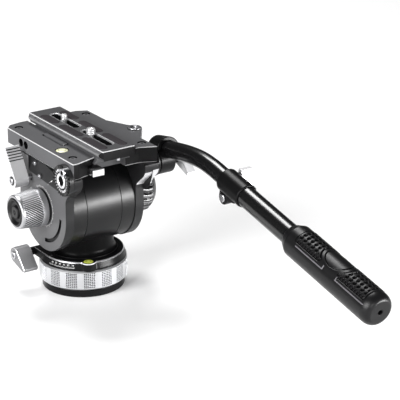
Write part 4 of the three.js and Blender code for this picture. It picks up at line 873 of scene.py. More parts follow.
platform_metal = metal("dark_anodised_platform", (0.088, 0.088, 0.092), 0.5, mottle=0.08, grain=0.25, size=0.28,
                       shine=0.15)
# The white of the platform's and camera plate's rims is a painted highlight.
white_edge_painted_highlight = metal("painted_highlight_white_rims", (0.85, 0.85, 0.86), 0.4, 0.5, grain=0.1)
platform_finishes = [platform_metal, white_edge_painted_highlight, black_and_painted_shade]
platform = assemble("platform_block", prism(rounded([
    (-43.3, -59.7), (-42.5, -60.5), (-37.7, -60.5), (-16.1, -53.6), (18.1, -53.6), (33.5, -53.6), (50.3, -60.5),
    (50.3, 71), (39.1, 76.6), (-24.3, 76.6), (-37.7, 74.2), (-43.3, 68),
], 0.8, steps=2, closed=True), PLATFORM_LOW, PLATFORM_TOP, "z", edge=0.7, edge_mark=1,
    facing=PAINTED_SHADE_TOWARDS_MINUS_V), platform_finishes)
dovetail_channel = block_cutter([
    (-18.7, CHANNEL_FLOOR), (20.7, CHANNEL_FLOOR), (20.7, 146.4), (18.1, 149), (18.1, 150.25), (18.6, 150.75),
    (18.6, 153), (-16.6, 153), (-16.6, 150.75), (-16.1, 150.25), (-16.1, 149), (-18.7, 146.4),
], -80, 80, "y", mark=0)
rear_notch = block_cutter(box_loop(-16.1, 18.1, -64, -44, 1.0), 130, 155, mark=0)
button_pocket = block_cutter(box_loop(-25.3, -12.2, 130, CHANNEL_FLOOR, 0.3), -64, -40, "y")
jaw_slot = block_cutter(box_loop(-25.5, -19.6, -9.3, 29.6, 0.6), JAW_FLOOR, 150.3)
jaw_mouth = block_cutter(box_loop(-25.8, -19.3, -10.2, 30.5, 0.6), 149.4, 152)
jaw_side = block_cutter(box_loop(-20.5, -18.4, -9.3, 29.6), JAW_FLOOR, 146.4)
level_window = platform_cutter([turned(
    [(0, 146.1), (6.3, 146.1), (6.3, 150.2), (6.9, 150.8), (6.9, 152), (0, 152)], centre=LEVEL_PLACE, count=64,
    mark=2)])
ports = [platform_cutter([turned(
    [(0, -34.3), (3.8, -34.3), (3.8, -43.0), (4.2, -43.4), (4.2, -46), (0, -46)], "x", (y, 143.1), count=48,
    mark=2)]) for y in (31, 40.5)]
recesses = [platform_cutter([turned(
    [(0, 148.2), (4, 148.2), (4, 150.3), (4.4, 150.7), (4.4, 152), (0, 152)], centre=place, count=48,
    mark=2)]) for place in RECESSES]
carve(platform, dovetail_channel, rear_notch, button_pocket, jaw_slot, jaw_mouth, jaw_side, level_window, *ports,
      *recesses)
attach(platform, "tilt_cradle")
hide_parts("platform")
ear_loop = rounded([
    (44.7, -30.6), (50.3, -30.6), (62.8, -12.5), (68.4, -4.3), (68.4, -2.7), (59.35, 11), (50.3, 33), (44.7, 33),
], 1.2, closed=True)
ear = assemble("platform_ear", prism(
    ear_loop, 145.6, 150.58, "z", edge=0.4, edge_mark=1, holes=[(circle(5.3, EAR_PLACE), None, 0.2)],
), platform_finishes)
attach(ear, "tilt_cradle")

# Platform screws: four steel socket screws in the recesses hold the platform on the side plates. Their heads sit
# below its top face.
PLATFORM_SCREW = [
    (0, 0, 148.25), (3.5, 0, 148.25), (3.5, 0, 149.5), (3.1, 0, 149.8), (0, 1, 149.8), (0, 1, 148.8), (0, 0, 148.7),
]
# Their steel is painted darker as shade in the recesses.
for count, place in enumerate(RECESSES):
    screw = assemble(f"platform_screw_{count + 1}", [hexagon_turned(PLATFORM_SCREW, 1.6, place, "z", 60)],
                     [screw_painted_shade], crisp=40)
    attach(screw, "tilt_cradle")

# Platform level: a pale yellow vial under clear acrylic, with its bubble and a ring line, glued into the round window
# of the platform.
platform_level = assemble("platform_level", [turned(rounded([
    (0, 146.4), (6, 146.4), (6, 150.3), (4.8, 150.8), (0, 151.2),
], 0.4), centre=LEVEL_PLACE, count=64)], [
    level_fluid("platform_level_fluid", (0.92, 0.92, 0.62), LEVEL_PLACE, 3.8, 2.8),
], crisp=50)
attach(platform_level, "tilt_cradle")
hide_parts("platform_level_vial")

# Accessory insert: a bright steel bush with a raised rim and a 1/4 inch thread, pressed into the ear. A monitor's arm
# or a light screws into it.
QUARTER_INCH_PITCH = 1.27
BUSH_BORE = 3.3
BUSH_LOW, BUSH_MOUTH = 145.6, 151.6
accessory = assemble("accessory_bush", [
    turned(rounded([
        (BUSH_BORE, BUSH_LOW), (5, BUSH_LOW), (5, 150.9), (7, 150.9), (7, 151.8), (6.5, 152.2), (3.9, 152.2),
        (BUSH_BORE, BUSH_MOUTH),
    ], 0.2), centre=EAR_PLACE, count=64),
    helical_wall(BUSH_BORE, 2.9, QUARTER_INCH_PITCH, BUSH_LOW, BUSH_MOUTH, centre=EAR_PLACE),
], [steel], crisp=40)
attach(accessory, "tilt_cradle")
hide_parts("accessory_thread_insert")

# Rosettes: black toothed discs of cast metal, fixed to both side plates, with a bright smooth ring round the bore.
# The pan bar's bracket grips their teeth.
TEETH = 24
TOOTH_STEPS = 8
TOOTH_RISE = 1.5
CROWN_IN, CROWN_OUT = 9.2, 15.0
ROSETTE_SCREW = (-53, 141.7)


def teeth(face, side):
    """The ring of radial teeth: at angle t the face stands out by the tooth's rise times the clipped triangle wave
    of TEETH t, more at the rim than at the inner radius. The inner crests have finish 1, a painted highlight."""
    angle = np.linspace(0, FULL_TURN, TEETH * TOOTH_STEPS, endpoint=False)[:, None]
    radius = np.linspace(CROWN_IN, CROWN_OUT, 6)[None, :]
    wave = 1 - np.abs(((angle / FULL_TURN * TEETH) % 1) * 2 - 1)
    height = face + TOOTH_RISE * np.clip(wave * 1.7 - 0.35, 0, 1) * radius / CROWN_OUT
    crest = (wave + np.roll(wave, -1, axis=0) > 1.2) & (radius[:, :-1] < 0.75 * CROWN_OUT)
    return grid(polar(ROSETTE, radius, angle, side * height, "x"), crest.astype(int).ravel())


tooth_metal = metal("rosette_black", (0.01, 0.01, 0.0105), 0.35, grain=0.2, size=0.3, shine=0.3)
# The inner tooth crests are painted pale as a highlight.
crest_painted_highlight = metal("rosette_crests_painted_highlight", (0.45, 0.45, 0.46), 0.35, 0.8, grain=0.2, size=0.3)
for side, node, start, end in ((-1, "left_rosette", 44.0, 50.0), (1, "right_rosette", 50.6, 53.2)):
    face, trench_floor = end - TOOTH_RISE, end - 2.2
    body = [(4.5, start), (15.3, start), (15.3, face), (CROWN_OUT, face)]
    trench = [(CROWN_IN, face), (CROWN_IN, trench_floor), (7.6, trench_floor)]
    lip = [(7.6, trench_floor), (7.6, end - 0.3), (7.2, end), (5.2, end), (4.7, end - 0.5)]
    bore = [(4.7, end - 0.5), (4.5, end - 0.7), (4.5, start)]
    rosette = assemble(node + "_toothed", [teeth(face, side)] + [
        turned(np.array(profile) * (1, side), "x", ROSETTE, count=TEETH * TOOTH_STEPS, mark=mark)
        for profile, mark in ((body, 0), (trench, 0), (lip, 2), (bore, 0))
    ], [tooth_metal, crest_painted_highlight, bright_ring_and_painted_highlight], crisp=24)
    if side < 0:
        carve(rosette, assemble("bite_cutter", [
            turned([(0, -43), (4.6, -43), (4.6, -52), (0, -52)], "x", ROSETTE_SCREW, count=48),
        ], [tooth_metal]))
    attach(rosette, "tilt_cradle")
    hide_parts(node)

# Rosette screw: a bright steel cap screw with its hexagon socket painted dark as shade, sunk into the edge of the
# left rosette, which it keeps from turning.
dark_ring_and_painted_shade = metal("dark_ring_and_socket_painted_shade", (0.03, 0.03, 0.03), 0.35, 0.7, grain=0.1)
rosette_screw = assemble("rosette_cap_screw", [
    socket_screw(4.2, 2.3, 44.0, 51.4, ROSETTE_SCREW, -1, mark=1),
], [steel, dark_ring_and_painted_shade], crisp=35)
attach(rosette_screw, "tilt_cradle")
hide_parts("rosette_screw")

# Plate clamp lever: a cast wing of satin aluminium, with five grip grooves near the tip, painted dark inside as
# shade, on a steel pin with a dark ring. Its rims are painted bright as a highlight. It draws the clamp jaw down.
CLAMP_TURN = 1.19
CLAMP_LENGTH = 33
GROOVE_HALF = 0.55
GROOVE_TAPER = 0.188
lever_silver = metal("lever_satin_aluminium", (0.66, 0.66, 0.67), 0.42, 0.5, mottle=0.06, grain=0.25, size=0.25)
clamp_finishes = [lever_silver, bright_ring_and_painted_highlight, dark_ring_and_painted_shade]
clamp_lever = assemble("plate_clamp_wing", wing_lever(
    CLAMP_TURN, 7.4, CLAMP_LENGTH, 2.6, CLAMP_PIN, -64.2, -49.2, corner=0.8, edge=0.4, steps=2,
), clamp_finishes)
groove_cutters = []
for u in (30.2, 27.4, 24.6, 21.8, 19.0):
    rise = GROOVE_TAPER * (CLAMP_LENGTH - u)
    groove = box_loop(u - GROOVE_HALF, u + GROOVE_HALF, 0.5 + rise, 6 + rise) @ turning(CLAMP_TURN) + CLAMP_PIN
    groove_cutters.append(assemble("groove_cutter", prism(
        groove, -65, -48.5, "x", edge=CUT_EDGE, mark=2,
    ), clamp_finishes))
carve(clamp_lever, *groove_cutters)
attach(clamp_lever, "plate_clamp")
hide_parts("plate_clamp_lever")
clamp_screw = assemble("plate_clamp_screw", [
    socket_screw(3.2, 1.6, 63.9, 65.6, CLAMP_PIN, -1),
    turned_ring([(3.3, -64.0), (4.6, -64.0), (4.6, -64.5), (3.3, -64.5)], 0.15, axis="x", centre=CLAMP_PIN,
                count=48, mark=1),
    turned([(0, -49.4), (3, -49.4), (3, -34.6), (0, -34.6)], "x", CLAMP_PIN, count=32),
], [steel, dark_ring_and_painted_shade], crisp=35)
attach(clamp_screw, "plate_clamp")
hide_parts("plate_clamp_pin")

# Clamp jaw: a milled bar, dark anodised, that slides in its slot of the platform and draws the camera plate down by
# its dovetail.
# The jaw's rims are painted bright as a highlight.
jaw = assemble("clamp_jaw_bar", prism(rounded([
    (-23.8, 144.6), (-18.7, 144.6), (-18.7, 146.1), (-19.9, 146.1), (-19.9, 152), (-23.8, 152),
], 0.5, closed=True), -9, 29, "y", edge=0.3, edge_mark=1), [platform_metal, bright_ring_and_painted_highlight])
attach(jaw, "clamp_jaw")
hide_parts("clamp_jaw")

# Tilt lock lever: a dark cast wing lever on the right side plate, with a steel screw that reaches through the plate
# to the drum.
# Its rims are painted light as a highlight.
tilt_lever = assemble("tilt_lock_wing", wing_lever(-1.05, 7, 24, 4, TILT_LOCK, 45.7, 58.7),
                      [dark_lever, lever_rims_painted_highlight])
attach(tilt_lever, "tilt_lock")
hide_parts("tilt_lock_lever")
tilt_screw = assemble("tilt_lock_screw_end", [
    socket_screw(4, 2.0, 58.3, 60.2, TILT_LOCK, 1),
    turned([(0, 34.6), (3, 34.6), (3, 58.5), (0, 58.5)], "x", TILT_LOCK, count=32),
], [steel], crisp=35)
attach(tilt_screw, "tilt_lock")
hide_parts("tilt_lock_pin")

# Release button: a bright aluminium slide in the rear of the platform, bored hollow from the front for the spring
# that pushes it out.
button_bright = metal("button_polished_aluminium", (0.78, 0.78, 0.79), 0.24, 1.0, mottle=0.05, grain=0.15)
# The button's rims are painted brighter as a highlight.
button = assemble("release_button_slide", prism(rounded([
    (-25, 135.8), (-12.5, 135.8), (-12.5, 142.4), (-25, 142.4),
], 0.6, closed=True), -66, -46, "y", edge=0.4, edge_mark=1), [button_bright, bright_ring_and_painted_highlight])
carve(button, assemble("button_cutter", [
    turned([(0, -59.6), (2.4, -59.6), (2.4, -44), (0, -44)], "y", (-18.75, 139.1), count=32),
], [button_bright, bright_ring_and_painted_highlight]))
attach(button, "release_button")
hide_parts("plate_release_button")

# Drag knob: a tapered aluminium knob with a slanting knurl between smooth rims, and a deep dished black cap pressed
# into it. A black seal ring closes the gap to the side plate.
KNURLS = 44
KNURL_STEPS = 9
KNURL_DEPTH = 0.85
KNURL_TWIST = 2 * math.pi / KNURLS / 3.4
KNURL_OUT, KNURL_IN = -71.5, -52.0
KNOB_RIM = 19.2
knob_metal = metal("knob_satin_aluminium", (0.47, 0.47, 0.485), 0.34, 0.9, mottle=0.05, grain=0.2, size=0.3,
                   lathe=TILT_LINE)
# The knurl's valleys are painted dark as shade.
knurl_painted_shade = metal("knurl_valley_painted_shade", (0.03, 0.03, 0.031), 0.5, grain=0.2, shine=0.2)


def knurl_valley(angle, height):
    """Depth of the knurl from 0 to 1: a triangle wave of KNURLS t, which ends at the two smooth rims. The mesh
    itself is twisted, so the ridges wind."""
    reach = np.clip((height - KNURL_OUT) / 0.7, 0, 1) * np.clip((KNURL_IN - height) / 1.5, 0, 1)
    wave = np.abs(((KNURLS * angle / FULL_TURN) % 1) * 2 - 1)
    return reach * np.clip(2.0 * wave - 0.6, 0, 1)


taper = np.linspace(0, 1, 46)
knob_profile = np.concatenate([
    rounded([(AXLE_BORE, -45.7), (15.5, -45.7), (18.6, -46.4), (KNOB_RIM, -47.2), (KNOB_RIM, -50)], 0.5),
    np.stack([KNOB_RIM - 2.35 * taper, -50 - 22 * taper], -1),
    rounded([(16.85, -72.2), (16.7, -73.9), (16.1, -74.5), (14.3, -74.5), (14.1, -74.2), (14.1, -70.5),
             (AXLE_BORE, -70.5), (AXLE_BORE, -60)], 0.3),
    [(AXLE_BORE, -45.9)],
])
drag_knob = assemble("drag_knob_knurled", [turned(
    knob_profile, "x", TILT_AXIS, count=KNURLS * KNURL_STEPS, twist=KNURL_TWIST,
    swell=lambda t, h: -KNURL_DEPTH * knurl_valley(t, h) * (np.abs(h + 61) < 11.4),
    tint=lambda t, h: ((knurl_valley(t, h) > 0.5) & (h < KNURL_IN) & (h > -71.6)).astype(int),
)], [knob_metal, knurl_painted_shade], crisp=50)
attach(drag_knob, "drag_knob")
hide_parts("drag_knob")
cap_plastic = metal("black_moulded_cap", (0.006, 0.006, 0.0065), 0.36, grain=0.3, size=0.3, shine=0.3)
drag_cap = assemble("drag_knob_dished_cap", [turned(rounded([
    (0, -70.8), (13.8, -70.8), (13.8, -74.9), (13.3, -75.3), (12.6, -75.3), (11.4, -74.2), (10.2, -72.3),
    (7.4, -71.8), (6.6, -72.0), (6.0, -74.2), (5.4, -74.6), (2.4, -74.6), (1.8, -73.6), (0, -73.4),
], 0.4), "x", TILT_AXIS, count=128)], [cap_plastic], crisp=40)
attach(drag_cap, "drag_knob")
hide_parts("drag_knob_cap")
knob_seal = assemble("drag_knob_seal", [turned_ring([
    (14.5, -43.75), (17.8, -43.75), (17.8, -45.2), (17.2, -45.5), (14.5, -45.5),
], 0.3, axis="x", centre=TILT_AXIS, count=128)], [cap_plastic], crisp=40)
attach(knob_seal, "tilt_cradle")

# Counterbalance knob: black moulded plastic with wavy finger ribs, whose crests are painted paler as a highlight, and
# a dished cap pressed into its end. It sits on the right end of the tilt axis.
RIBS = 24
RIB_STEPS = 16
RIBS_IN, RIBS_OUT = 47.0, 67.5
BALANCE_RADIUS = 26.2


def wavy_ribs(angle, height):
    """Radial rise of the ribs: broad crests with sharp valleys, |sin| of half the rib count, that lean a little as
    they cross the knob and die out at both rims."""
    fade = np.clip((height - RIBS_IN) / 1.2, 0, 1) * np.clip((RIBS_OUT - height) / 2.0, 0, 1)
    lean = 0.22 * np.sin((height - 46) / 21 * 2 * np.pi)
    return fade * (1.9 * np.abs(np.sin(RIBS / 2 * angle + lean * 2.2)) ** 0.7 - 0.9)


balance_profile = np.concatenate([
    rounded([(AXLE_BORE, 46), (25.4, 46), (BALANCE_RADIUS, 46.8)], 0.3),
    np.stack([np.full(30, BALANCE_RADIUS), np.linspace(RIBS_IN, 66.5, 30)], -1),
    rounded([(26.0, 67.2), (24.6, 69.5), (21.6, 73), (13, 73), (12.4, 72.4), (12.3, 70.0), (AXLE_BORE, 70.0)], 0.6),
    [(AXLE_BORE, 46.2)],
])
balance_knob = assemble("counterbalance_knob_ribbed", [
    turned(balance_profile, "x", TILT_AXIS, count=RIBS * RIB_STEPS, swell=wavy_ribs,
           tint=lambda t, h: (wavy_ribs(t, h) > 0.92).astype(int)),
], [metal("black_moulded_knob", (0.006, 0.006, 0.0065), 0.22, grain=0.2, size=0.4),
    metal("rib_crests_painted_highlight", (0.16, 0.16, 0.165), 0.3, grain=0.2, size=0.4)], crisp=50)
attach(balance_knob, "counterbalance_knob")
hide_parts("counterbalance_knob")
balance_cap = assemble("counterbalance_knob_dished_cap", [turned(rounded([
    (0, 70.3), (12, 70.3), (12, 73.4), (11.4, 73.8), (10.2, 73.8), (9.0, 73.2), (0, 73.0),
], 0.4), "x", TILT_AXIS, count=96)], [cap_plastic], crisp=40)
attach(balance_cap, "counterbalance_knob")
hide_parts("counterbalance_knob_cap")

# Camera plate: a long milled aluminium slab with ridged sides and plain ends, two screw slots with serrated ledges
# and six pad pockets, over a dovetail foot. A small steel stop pin stands under its rear end.
PLATE_X = 1.0
PLATE_LOW, PLATE_TOP = 150.95, 160.6
PLATE_REAR, PLATE_FRONT = -70.5, 71.5
END_HALF = 16.9
LEDGE_LEVEL = 159.9
PAD_POCKET_FLOOR = 159.4
SLOTS = ((6, 54), (-55.5, -6))
PAD_SPANS = (("front", 27, 56), ("middle", -19, 19.5), ("rear", -63.5, -25))
plate_metal = metal("dark_anodised_plate", (0.062, 0.062, 0.065), 0.44, mottle=0.08, grain=0.2, size=0.28,
                    shine=0.2)


def serrated(name, light, dark, pitch):
    """A metal finish with fine straight serrations across Y: the colour goes from light to dark and the height from
    0 to 1 with the sine of y over `pitch` mm (the wave texture's own period is pi / 10 over its scale). The dark
    colour in the grooves is painted shade."""
    made = metal(name, light, 0.35, 0.7, grain=0.1)
    place = add_node(made, "TexCoord", {}).outputs["Object"]
    wave = add_node(made, "TexWave", {"Vector": place, "Scale": math.pi / 10 / (pitch * MM)}, bands_direction="Y")
    height = wave.outputs["Fac"]
    tone = add_node(made, "Mix", {"Factor": height, "A": (*dark, 1), "B": (*light, 1)}, data_type="RGBA")
    relief = add_node(made, "Bump", {"Distance": 0.25 * MM, "Height": height})
    feed(made, made.node_tree.nodes["Principled BSDF"], {
        "Base Color": tone.outputs["Result"], "Normal": relief.outputs["Normal"],
    })
    return made


def stadium(x, y0, y1, half, count=24):
    """A slot's outline: two half circles joined by straight sides."""
    turn = np.linspace(0, np.pi, count)
    return np.concatenate([
        np.stack([x + half * np.cos(turn), y1 - half + half * np.sin(turn)], -1),
        np.stack([x - half * np.cos(turn), y0 + half - half * np.sin(turn)], -1),
    ])


plate_finishes = [
    plate_metal, white_edge_painted_highlight, black_and_painted_shade,
    serrated("plate_side_serrations", (0.30, 0.30, 0.31), (0.05, 0.05, 0.052), 1.0),
    serrated("slot_ledge_serrations", (0.62, 0.62, 0.64), (0.16, 0.16, 0.165), 0.9),
    metal("plate_ridge_painted_highlight", (0.26, 0.26, 0.265), 0.4, 0.4, grain=0.2, size=0.28),
]
half_profile = np.array([
    (17.1, PLATE_TOP), (17.9, 159.95), (20.1, 157.7), (20.4, 157.3), (20.4, 155.7), (20.1, 155.4), (16.9, 152.5),
    (16.6, 152.2), (16.6, PLATE_LOW),
])
# Seen from above the slab has eight corners: its sides stand out past its ends by what the profile adds there.
wide = half_profile[:, 0]
end_half = np.minimum(wide, END_HALF)
corner_cut = np.maximum(wide - END_HALF, 0.05)
rear, front = PLATE_REAR + 0 * wide, PLATE_FRONT + 0 * wide
rear[0], front[0] = -69.8, 70.8
slab_x = np.stack([-end_half, end_half, wide, wide, end_half, -end_half, -wide, -wide]) + PLATE_X
slab_y = np.stack([
    rear, rear, rear + corner_cut, front - corner_cut, front, front, front - corner_cut, rear + corner_cut,
])
slab_wall = along(slab_x, slab_y, half_profile[:, 1][None, :], "z")
# The sides' top rim is painted white and their ridge bands light grey, as highlights; the ends and corner cuts are
# painted black below their rim, as shade.
side_bands = [1, 3, 5, 5, 5, 0, 0, 0]
end_bands = [1, 2, 2, 2, 2, 2, 2, 2]
band_marks = np.array([side_bands if corner in (2, 6) else end_bands for corner in range(8)])
pads = [(f"plate_pad_{word}_{end}", PLATE_X + side * 10.9, y0, y1)
        for side, word in ((-1, "left"), (1, "right")) for end, y0, y1 in PAD_SPANS]
plate_patches = [grid(slab_wall, band_marks.ravel())]
top_loops = [slab_wall[:, 0, :2] / MM]
bottom_loops = [slab_wall[:, -1, :2] / MM]
for y0, y1 in SLOTS:
    mouth = stadium(PLATE_X, y0 - 1.8, y1 + 1.8, 5.2)
    ledge = stadium(PLATE_X, y0 - 1.6, y1 + 1.6, 5.0)
    slot = stadium(PLATE_X, y0, y1, 3.4)
    top_loops.append(mouth)
    bottom_loops.append(slot)
    # Each slot's mouth is painted white as a highlight, and the walls above and below its ledge black as shade.
    levels = [(mouth, PLATE_TOP), (ledge, 160.2), (ledge, LEDGE_LEVEL), (slot, LEDGE_LEVEL), (slot, PLATE_LOW)]
    for (upper, from_level), (lower, to_level), mark in zip(levels, levels[1:], (1, 2, 4, 2)):
        plate_patches.append(wall([upper, lower], [from_level, to_level], "z", mark))
for name, x, y0, y1 in pads:
    pocket = stadium(x, y0 - 0.25, y1 + 0.25, 4.45)
    top_loops.append(pocket)
    plate_patches.append(wall([pocket, pocket], [PLATE_TOP, PAD_POCKET_FLOOR], "z"))
    plate_patches.append(flat([pocket], PAD_POCKET_FLOOR, "z"))
plate_patches += [flat(top_loops, PLATE_TOP, "z"), flat(bottom_loops, PLATE_LOW, "z")]
plate = assemble("camera_plate_slab", plate_patches, plate_finishes)
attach(plate, "camera_plate")
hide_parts("camera_plate")
# The foot's underside and its wells are painted black as shade.
foot = assemble("camera_plate_foot", prism([
    (-15.8, 150.96), (17.8, 150.96), (17.8, 148.7), (20.4, 146.1), (20.4, 144.6), (-18.4, 144.6), (-18.4, 146.1),
    (-15.8, 148.7),
], -58, 60, "y", edge=0.3, facing=PAINTED_SHADE_TOWARDS_MINUS_V), plate_finishes[:3])
carve(foot, *[assemble("well_cutter", prism(
    box_loop(-6.6, 8.6, y0 - 3.5, y1 + 3.5), 140, 155, "z", edge=CUT_EDGE, mark=2,
), plate_finishes[:3]) for y0, y1 in SLOTS])
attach(foot, "camera_plate")
stop_pin = assemble("plate_stop_pin", [turned(rounded([
    (0, 151.3), (1.9, 151.3), (1.9, 148.9), (1.5, 148.5), (0, 148.5),
], 0.2), centre=(1.1, -68.4), count=32)], [steel], crisp=40)
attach(stop_pin, "camera_plate")

# Plate pads: six soft black rubber strips, slightly crowned, glued into pockets of the camera plate, so that the
# camera doesn't slip on it.
PAD_HALF = 4.2
PAD_STEPS = ((0, 159.5), (0, 160.7), (0.15, 160.95), (0.55, 161.08), (2.2, 161.1))
pad_rubber = metal("pad_rubber", (0.034, 0.030, 0.033), 0.8, grain=0.6, size=0.3, shine=0.12)
for name, x, y0, y1 in pads:
    rows = [stadium(x, y0 + step_in, y1 - step_in, PAD_HALF - step_in) for step_in, _ in PAD_STEPS]
    heights = [height for _, height in PAD_STEPS]
    pad = assemble(name + "_crowned", [
        wall(rows, heights, "z"), flat([rows[-1]], heights[-1], "z"), flat([rows[0]], heights[0], "z"),
    ], [pad_rubber], crisp=50)
    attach(pad, "camera_plate")
    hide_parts(name)

# Camera screws: bright steel screws with full threads and a round recess in the end, each in a small steel carriage
# that slides along its slot of the camera plate.
SCREW_LOW, SCREW_NECK, THREAD_LOW, THREAD_TOP = 146.0, 149.6, 160.8, 165.6
NECK_RADIUS = 3.1
screw_bright = metal("camera_screw_bright_steel", (0.80, 0.80, 0.81), 0.3, 0.8, mottle=0.05, grain=0.15)
for node, screw_body, carriage, carriage_body, y, radius, pitch in (
    ("quarter_inch_camera_screw", "quarter_inch_screw", "quarter_inch_screw_carriage", "quarter_inch_carriage",
     32.5, 3.1, QUARTER_INCH_PITCH),
    ("three_eighths_inch_camera_screw", "three_eighths_screw", "three_eighths_inch_screw_carriage",
     "three_eighths_carriage", -18.7, 4.7, THREE_EIGHTHS_PITCH),
):
    centre = (PLATE_X, y)
    root, recess = radius * 0.86, radius * 0.42
    screw = assemble(node + "_threaded", [
        turned([
            (0, SCREW_LOW), (4.0, SCREW_LOW), (5.2, SCREW_LOW), (5.6, 146.4), (5.6, 149.4), (5.4, SCREW_NECK),
            (NECK_RADIUS, SCREW_NECK), (NECK_RADIUS, THREAD_LOW), (radius * 0.93, THREAD_LOW),
        ], centre=centre, count=64),
        helical_wall(root, radius, pitch, THREAD_LOW, THREAD_TOP, centre=centre, per_turn=10),
        turned([(root, THREAD_TOP), (radius * 0.8, 166.2), (recess, 166.2), (recess, 165.4), (0, 165.3)],
               centre=centre, count=64),
    ], [screw_bright], crisp=28)
    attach(screw, screw_body)
    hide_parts(node)
    slider = assemble(carriage + "_block", prism(
        box_loop(-6, 8, y - 7, y + 7, 0.6), 149.9, 152.9, "z", edge=0.3, holes=[(circle(3.4, centre), None, 0.2)],
    ), [steel])
    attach(slider, carriage_body)
    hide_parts(carriage)

# Pan bar bracket: a black satin casting that clamps on the right rosette, with a barrel for the arm. A bolt through
# its eye carries the clamp lever.
BAR_X = 66.0
BARREL = (BAR_X, -48.0, 141.3)
BARREL_SLOPE = 0.192
bracket_metal = metal("black_satin_bracket", (0.003, 0.003, 0.0032), 0.34, size=0.4, shine=0.13)


def laid_back(patches, place, out, up):
    """The patches of a part that was made upright, carried to a place in mm: its Z goes along the vector out and its
    Y along the vector up, which both lie in the YZ plane."""
    turn = np.array([(1, 0, 0), up, out], float)
    return [(points @ turn + np.array(place) * MM, faces, mark) for points, faces, mark in patches]


barrel_out = np.array([0, -math.cos(BARREL_SLOPE), math.sin(BARREL_SLOPE)])
barrel_up = np.array([0, -math.sin(BARREL_SLOPE), -math.cos(BARREL_SLOPE)])
barrel_skin = turned(rounded([
    (0, -13), (10.9, -13), (12.5, -11.4), (12.5, 5.4), (11.9, 5.6), (11.9, 6.2), (12.5, 6.4), (12.5, 7.4), (11.9, 8),
    (8.9, 8), (8.9, 4.6), (0, 4.6),
], 0.3), count=160)
bracket = assemble("pan_bar_bracket_casting", [
    *laid_back([barrel_skin], BARREL, barrel_out, barrel_up),
    turned_ring([(4.3, 53.5), (14.5, 53.5), (14.5, 70), (4.3, 70)], 0.8, axis="x", centre=ROSETTE, count=160),
    turned_ring([(4.3, 69), (7.5, 69), (7.5, 78.4), (4.3, 78.4)], 0.4, axis="x", centre=ROSETTE, count=96),
], [bracket_metal], crisp=34)
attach(bracket, "pan_bar")
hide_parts("pan_bar_bracket")
bar_lever = assemble("pan_bar_clamp_wing", wing_lever(-2.54, 7.5, 25, 3, ROSETTE, 78.7, 88.2, steps=2),
                     [lever_silver, bright_ring_and_painted_highlight])
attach(bar_lever, "pan_bar_clamp")
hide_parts("pan_bar_clamp_lever")
bar_bolt = assemble("pan_bar_clamp_bolt_end", [
    socket_screw(6.7, 2.6, 88.0, 89.7, ROSETTE, 1),
    turned([(0, 50.6), (4, 50.6), (4, 88.2), (0, 88.2)], "x", ROSETTE, count=48),
], [steel], crisp=35)
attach(bar_bolt, "pan_bar_clamp")
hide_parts("pan_bar_clamp_bolt")

# Pan bar arm: a bent tube in gloss black that leaves the barrel and runs on inside the extension tube. Its foot is
# held in the barrel.
BAR_SLOPE = 0.213
COLLAR = (BAR_X, -154.0, 142.5)
ARM_RADIUS, ARM_BORE = 8.5, 6.9
ARM_STEPS = 96
gloss_black = metal("gloss_black_tube", (0.003, 0.003, 0.0032), 0.24, mottle=0.04, grain=0.01, size=1.5, shine=0.6)


def smooth_path(knots, per_span=12):
    """A Catmull-Rom curve through the knots: on each span p(t) is the cubic through its two ends with the slopes
    (next - previous) / 2."""
    knots = np.asarray(knots, float)
    padded = np.concatenate([[2 * knots[0] - knots[1]], knots, [2 * knots[-1] - knots[-2]]])
    t = np.linspace(0, 1, per_span, endpoint=False)[None, :, None]
    p0, p1, p2, p3 = (padded[i:len(padded) - 3 + i][:, None] for i in range(4))
    square = 2 * p0 - 5 * p1 + 4 * p2 - p3
    cube = 3 * p1 - p0 - 3 * p2 + p3
    spans = 0.5 * (2 * p1 + (p2 - p0) * t + square * t**2 + cube * t**3)
    return np.concatenate([spans.reshape(-1, knots.shape[1]), knots[-1:]])


def tube_points(path, radius):
    """A round tube along a path in a YZ plane, in metres: at each path point the ring is r (cos a, sin a n), where n
    is the path's normal in that plane."""
    step = np.gradient(path, axis=0)
    step = step / np.linalg.norm(step, axis=1)[:, None]
    normal = np.stack([0 * step[:, 0], -step[:, 2], step[:, 1]], -1)
    angle = np.linspace(0, FULL_TURN, ARM_STEPS, endpoint=False)[:, None, None]
    across = np.array([1.0, 0, 0])
    return (path[None] + radius * (np.cos(angle) * across + np.sin(angle) * normal[None])) * MM


def on_straight(y):
    """The point of the bar's straight run at this y."""
    return (BAR_X, y, COLLAR[2] + (y - COLLAR[1]) * math.tan(BAR_SLOPE))


arm_path = np.concatenate([
    smooth_path([np.array(BARREL) + 4.9 * barrel_out, (BAR_X, -63.3, 144.3), (BAR_X, -89.4, 148),
                 (BAR_X, -112, 149.2), (BAR_X, -131, 147.3), on_straight(-146)]),
    [on_straight(-160), on_straight(COLLAR[1] - 104 * math.cos(BAR_SLOPE))],
])
arm_skin, arm_bore = tube_points(arm_path, ARM_RADIUS), tube_points(arm_path, ARM_BORE)
arm = assemble("pan_bar_bent_arm", [
    grid(arm_skin), grid(arm_bore),
    *[grid(np.stack([arm_skin[:, end], arm_bore[:, end]], 1)) for end in (0, -1)],
], [gloss_black], crisp=50)
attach(arm, "pan_bar")
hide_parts("pan_bar_arm")

# Clamp collar: a black split collar with a lug below, at the head of the extension tube. A steel bolt with a satin
# wing lever closes it on the arm.
LUG = (-15, 6.5)
bar_out = np.array([0, -math.cos(BAR_SLOPE), -math.sin(BAR_SLOPE)])
bar_up = np.array([0, -math.sin(BAR_SLOPE), math.cos(BAR_SLOPE)])


def on_bar(patches):
    """The patches of a part of the bar, carried from upright into the bar's place, with the collar's head at 0."""
    return laid_back(patches, COLLAR, bar_out, bar_up)


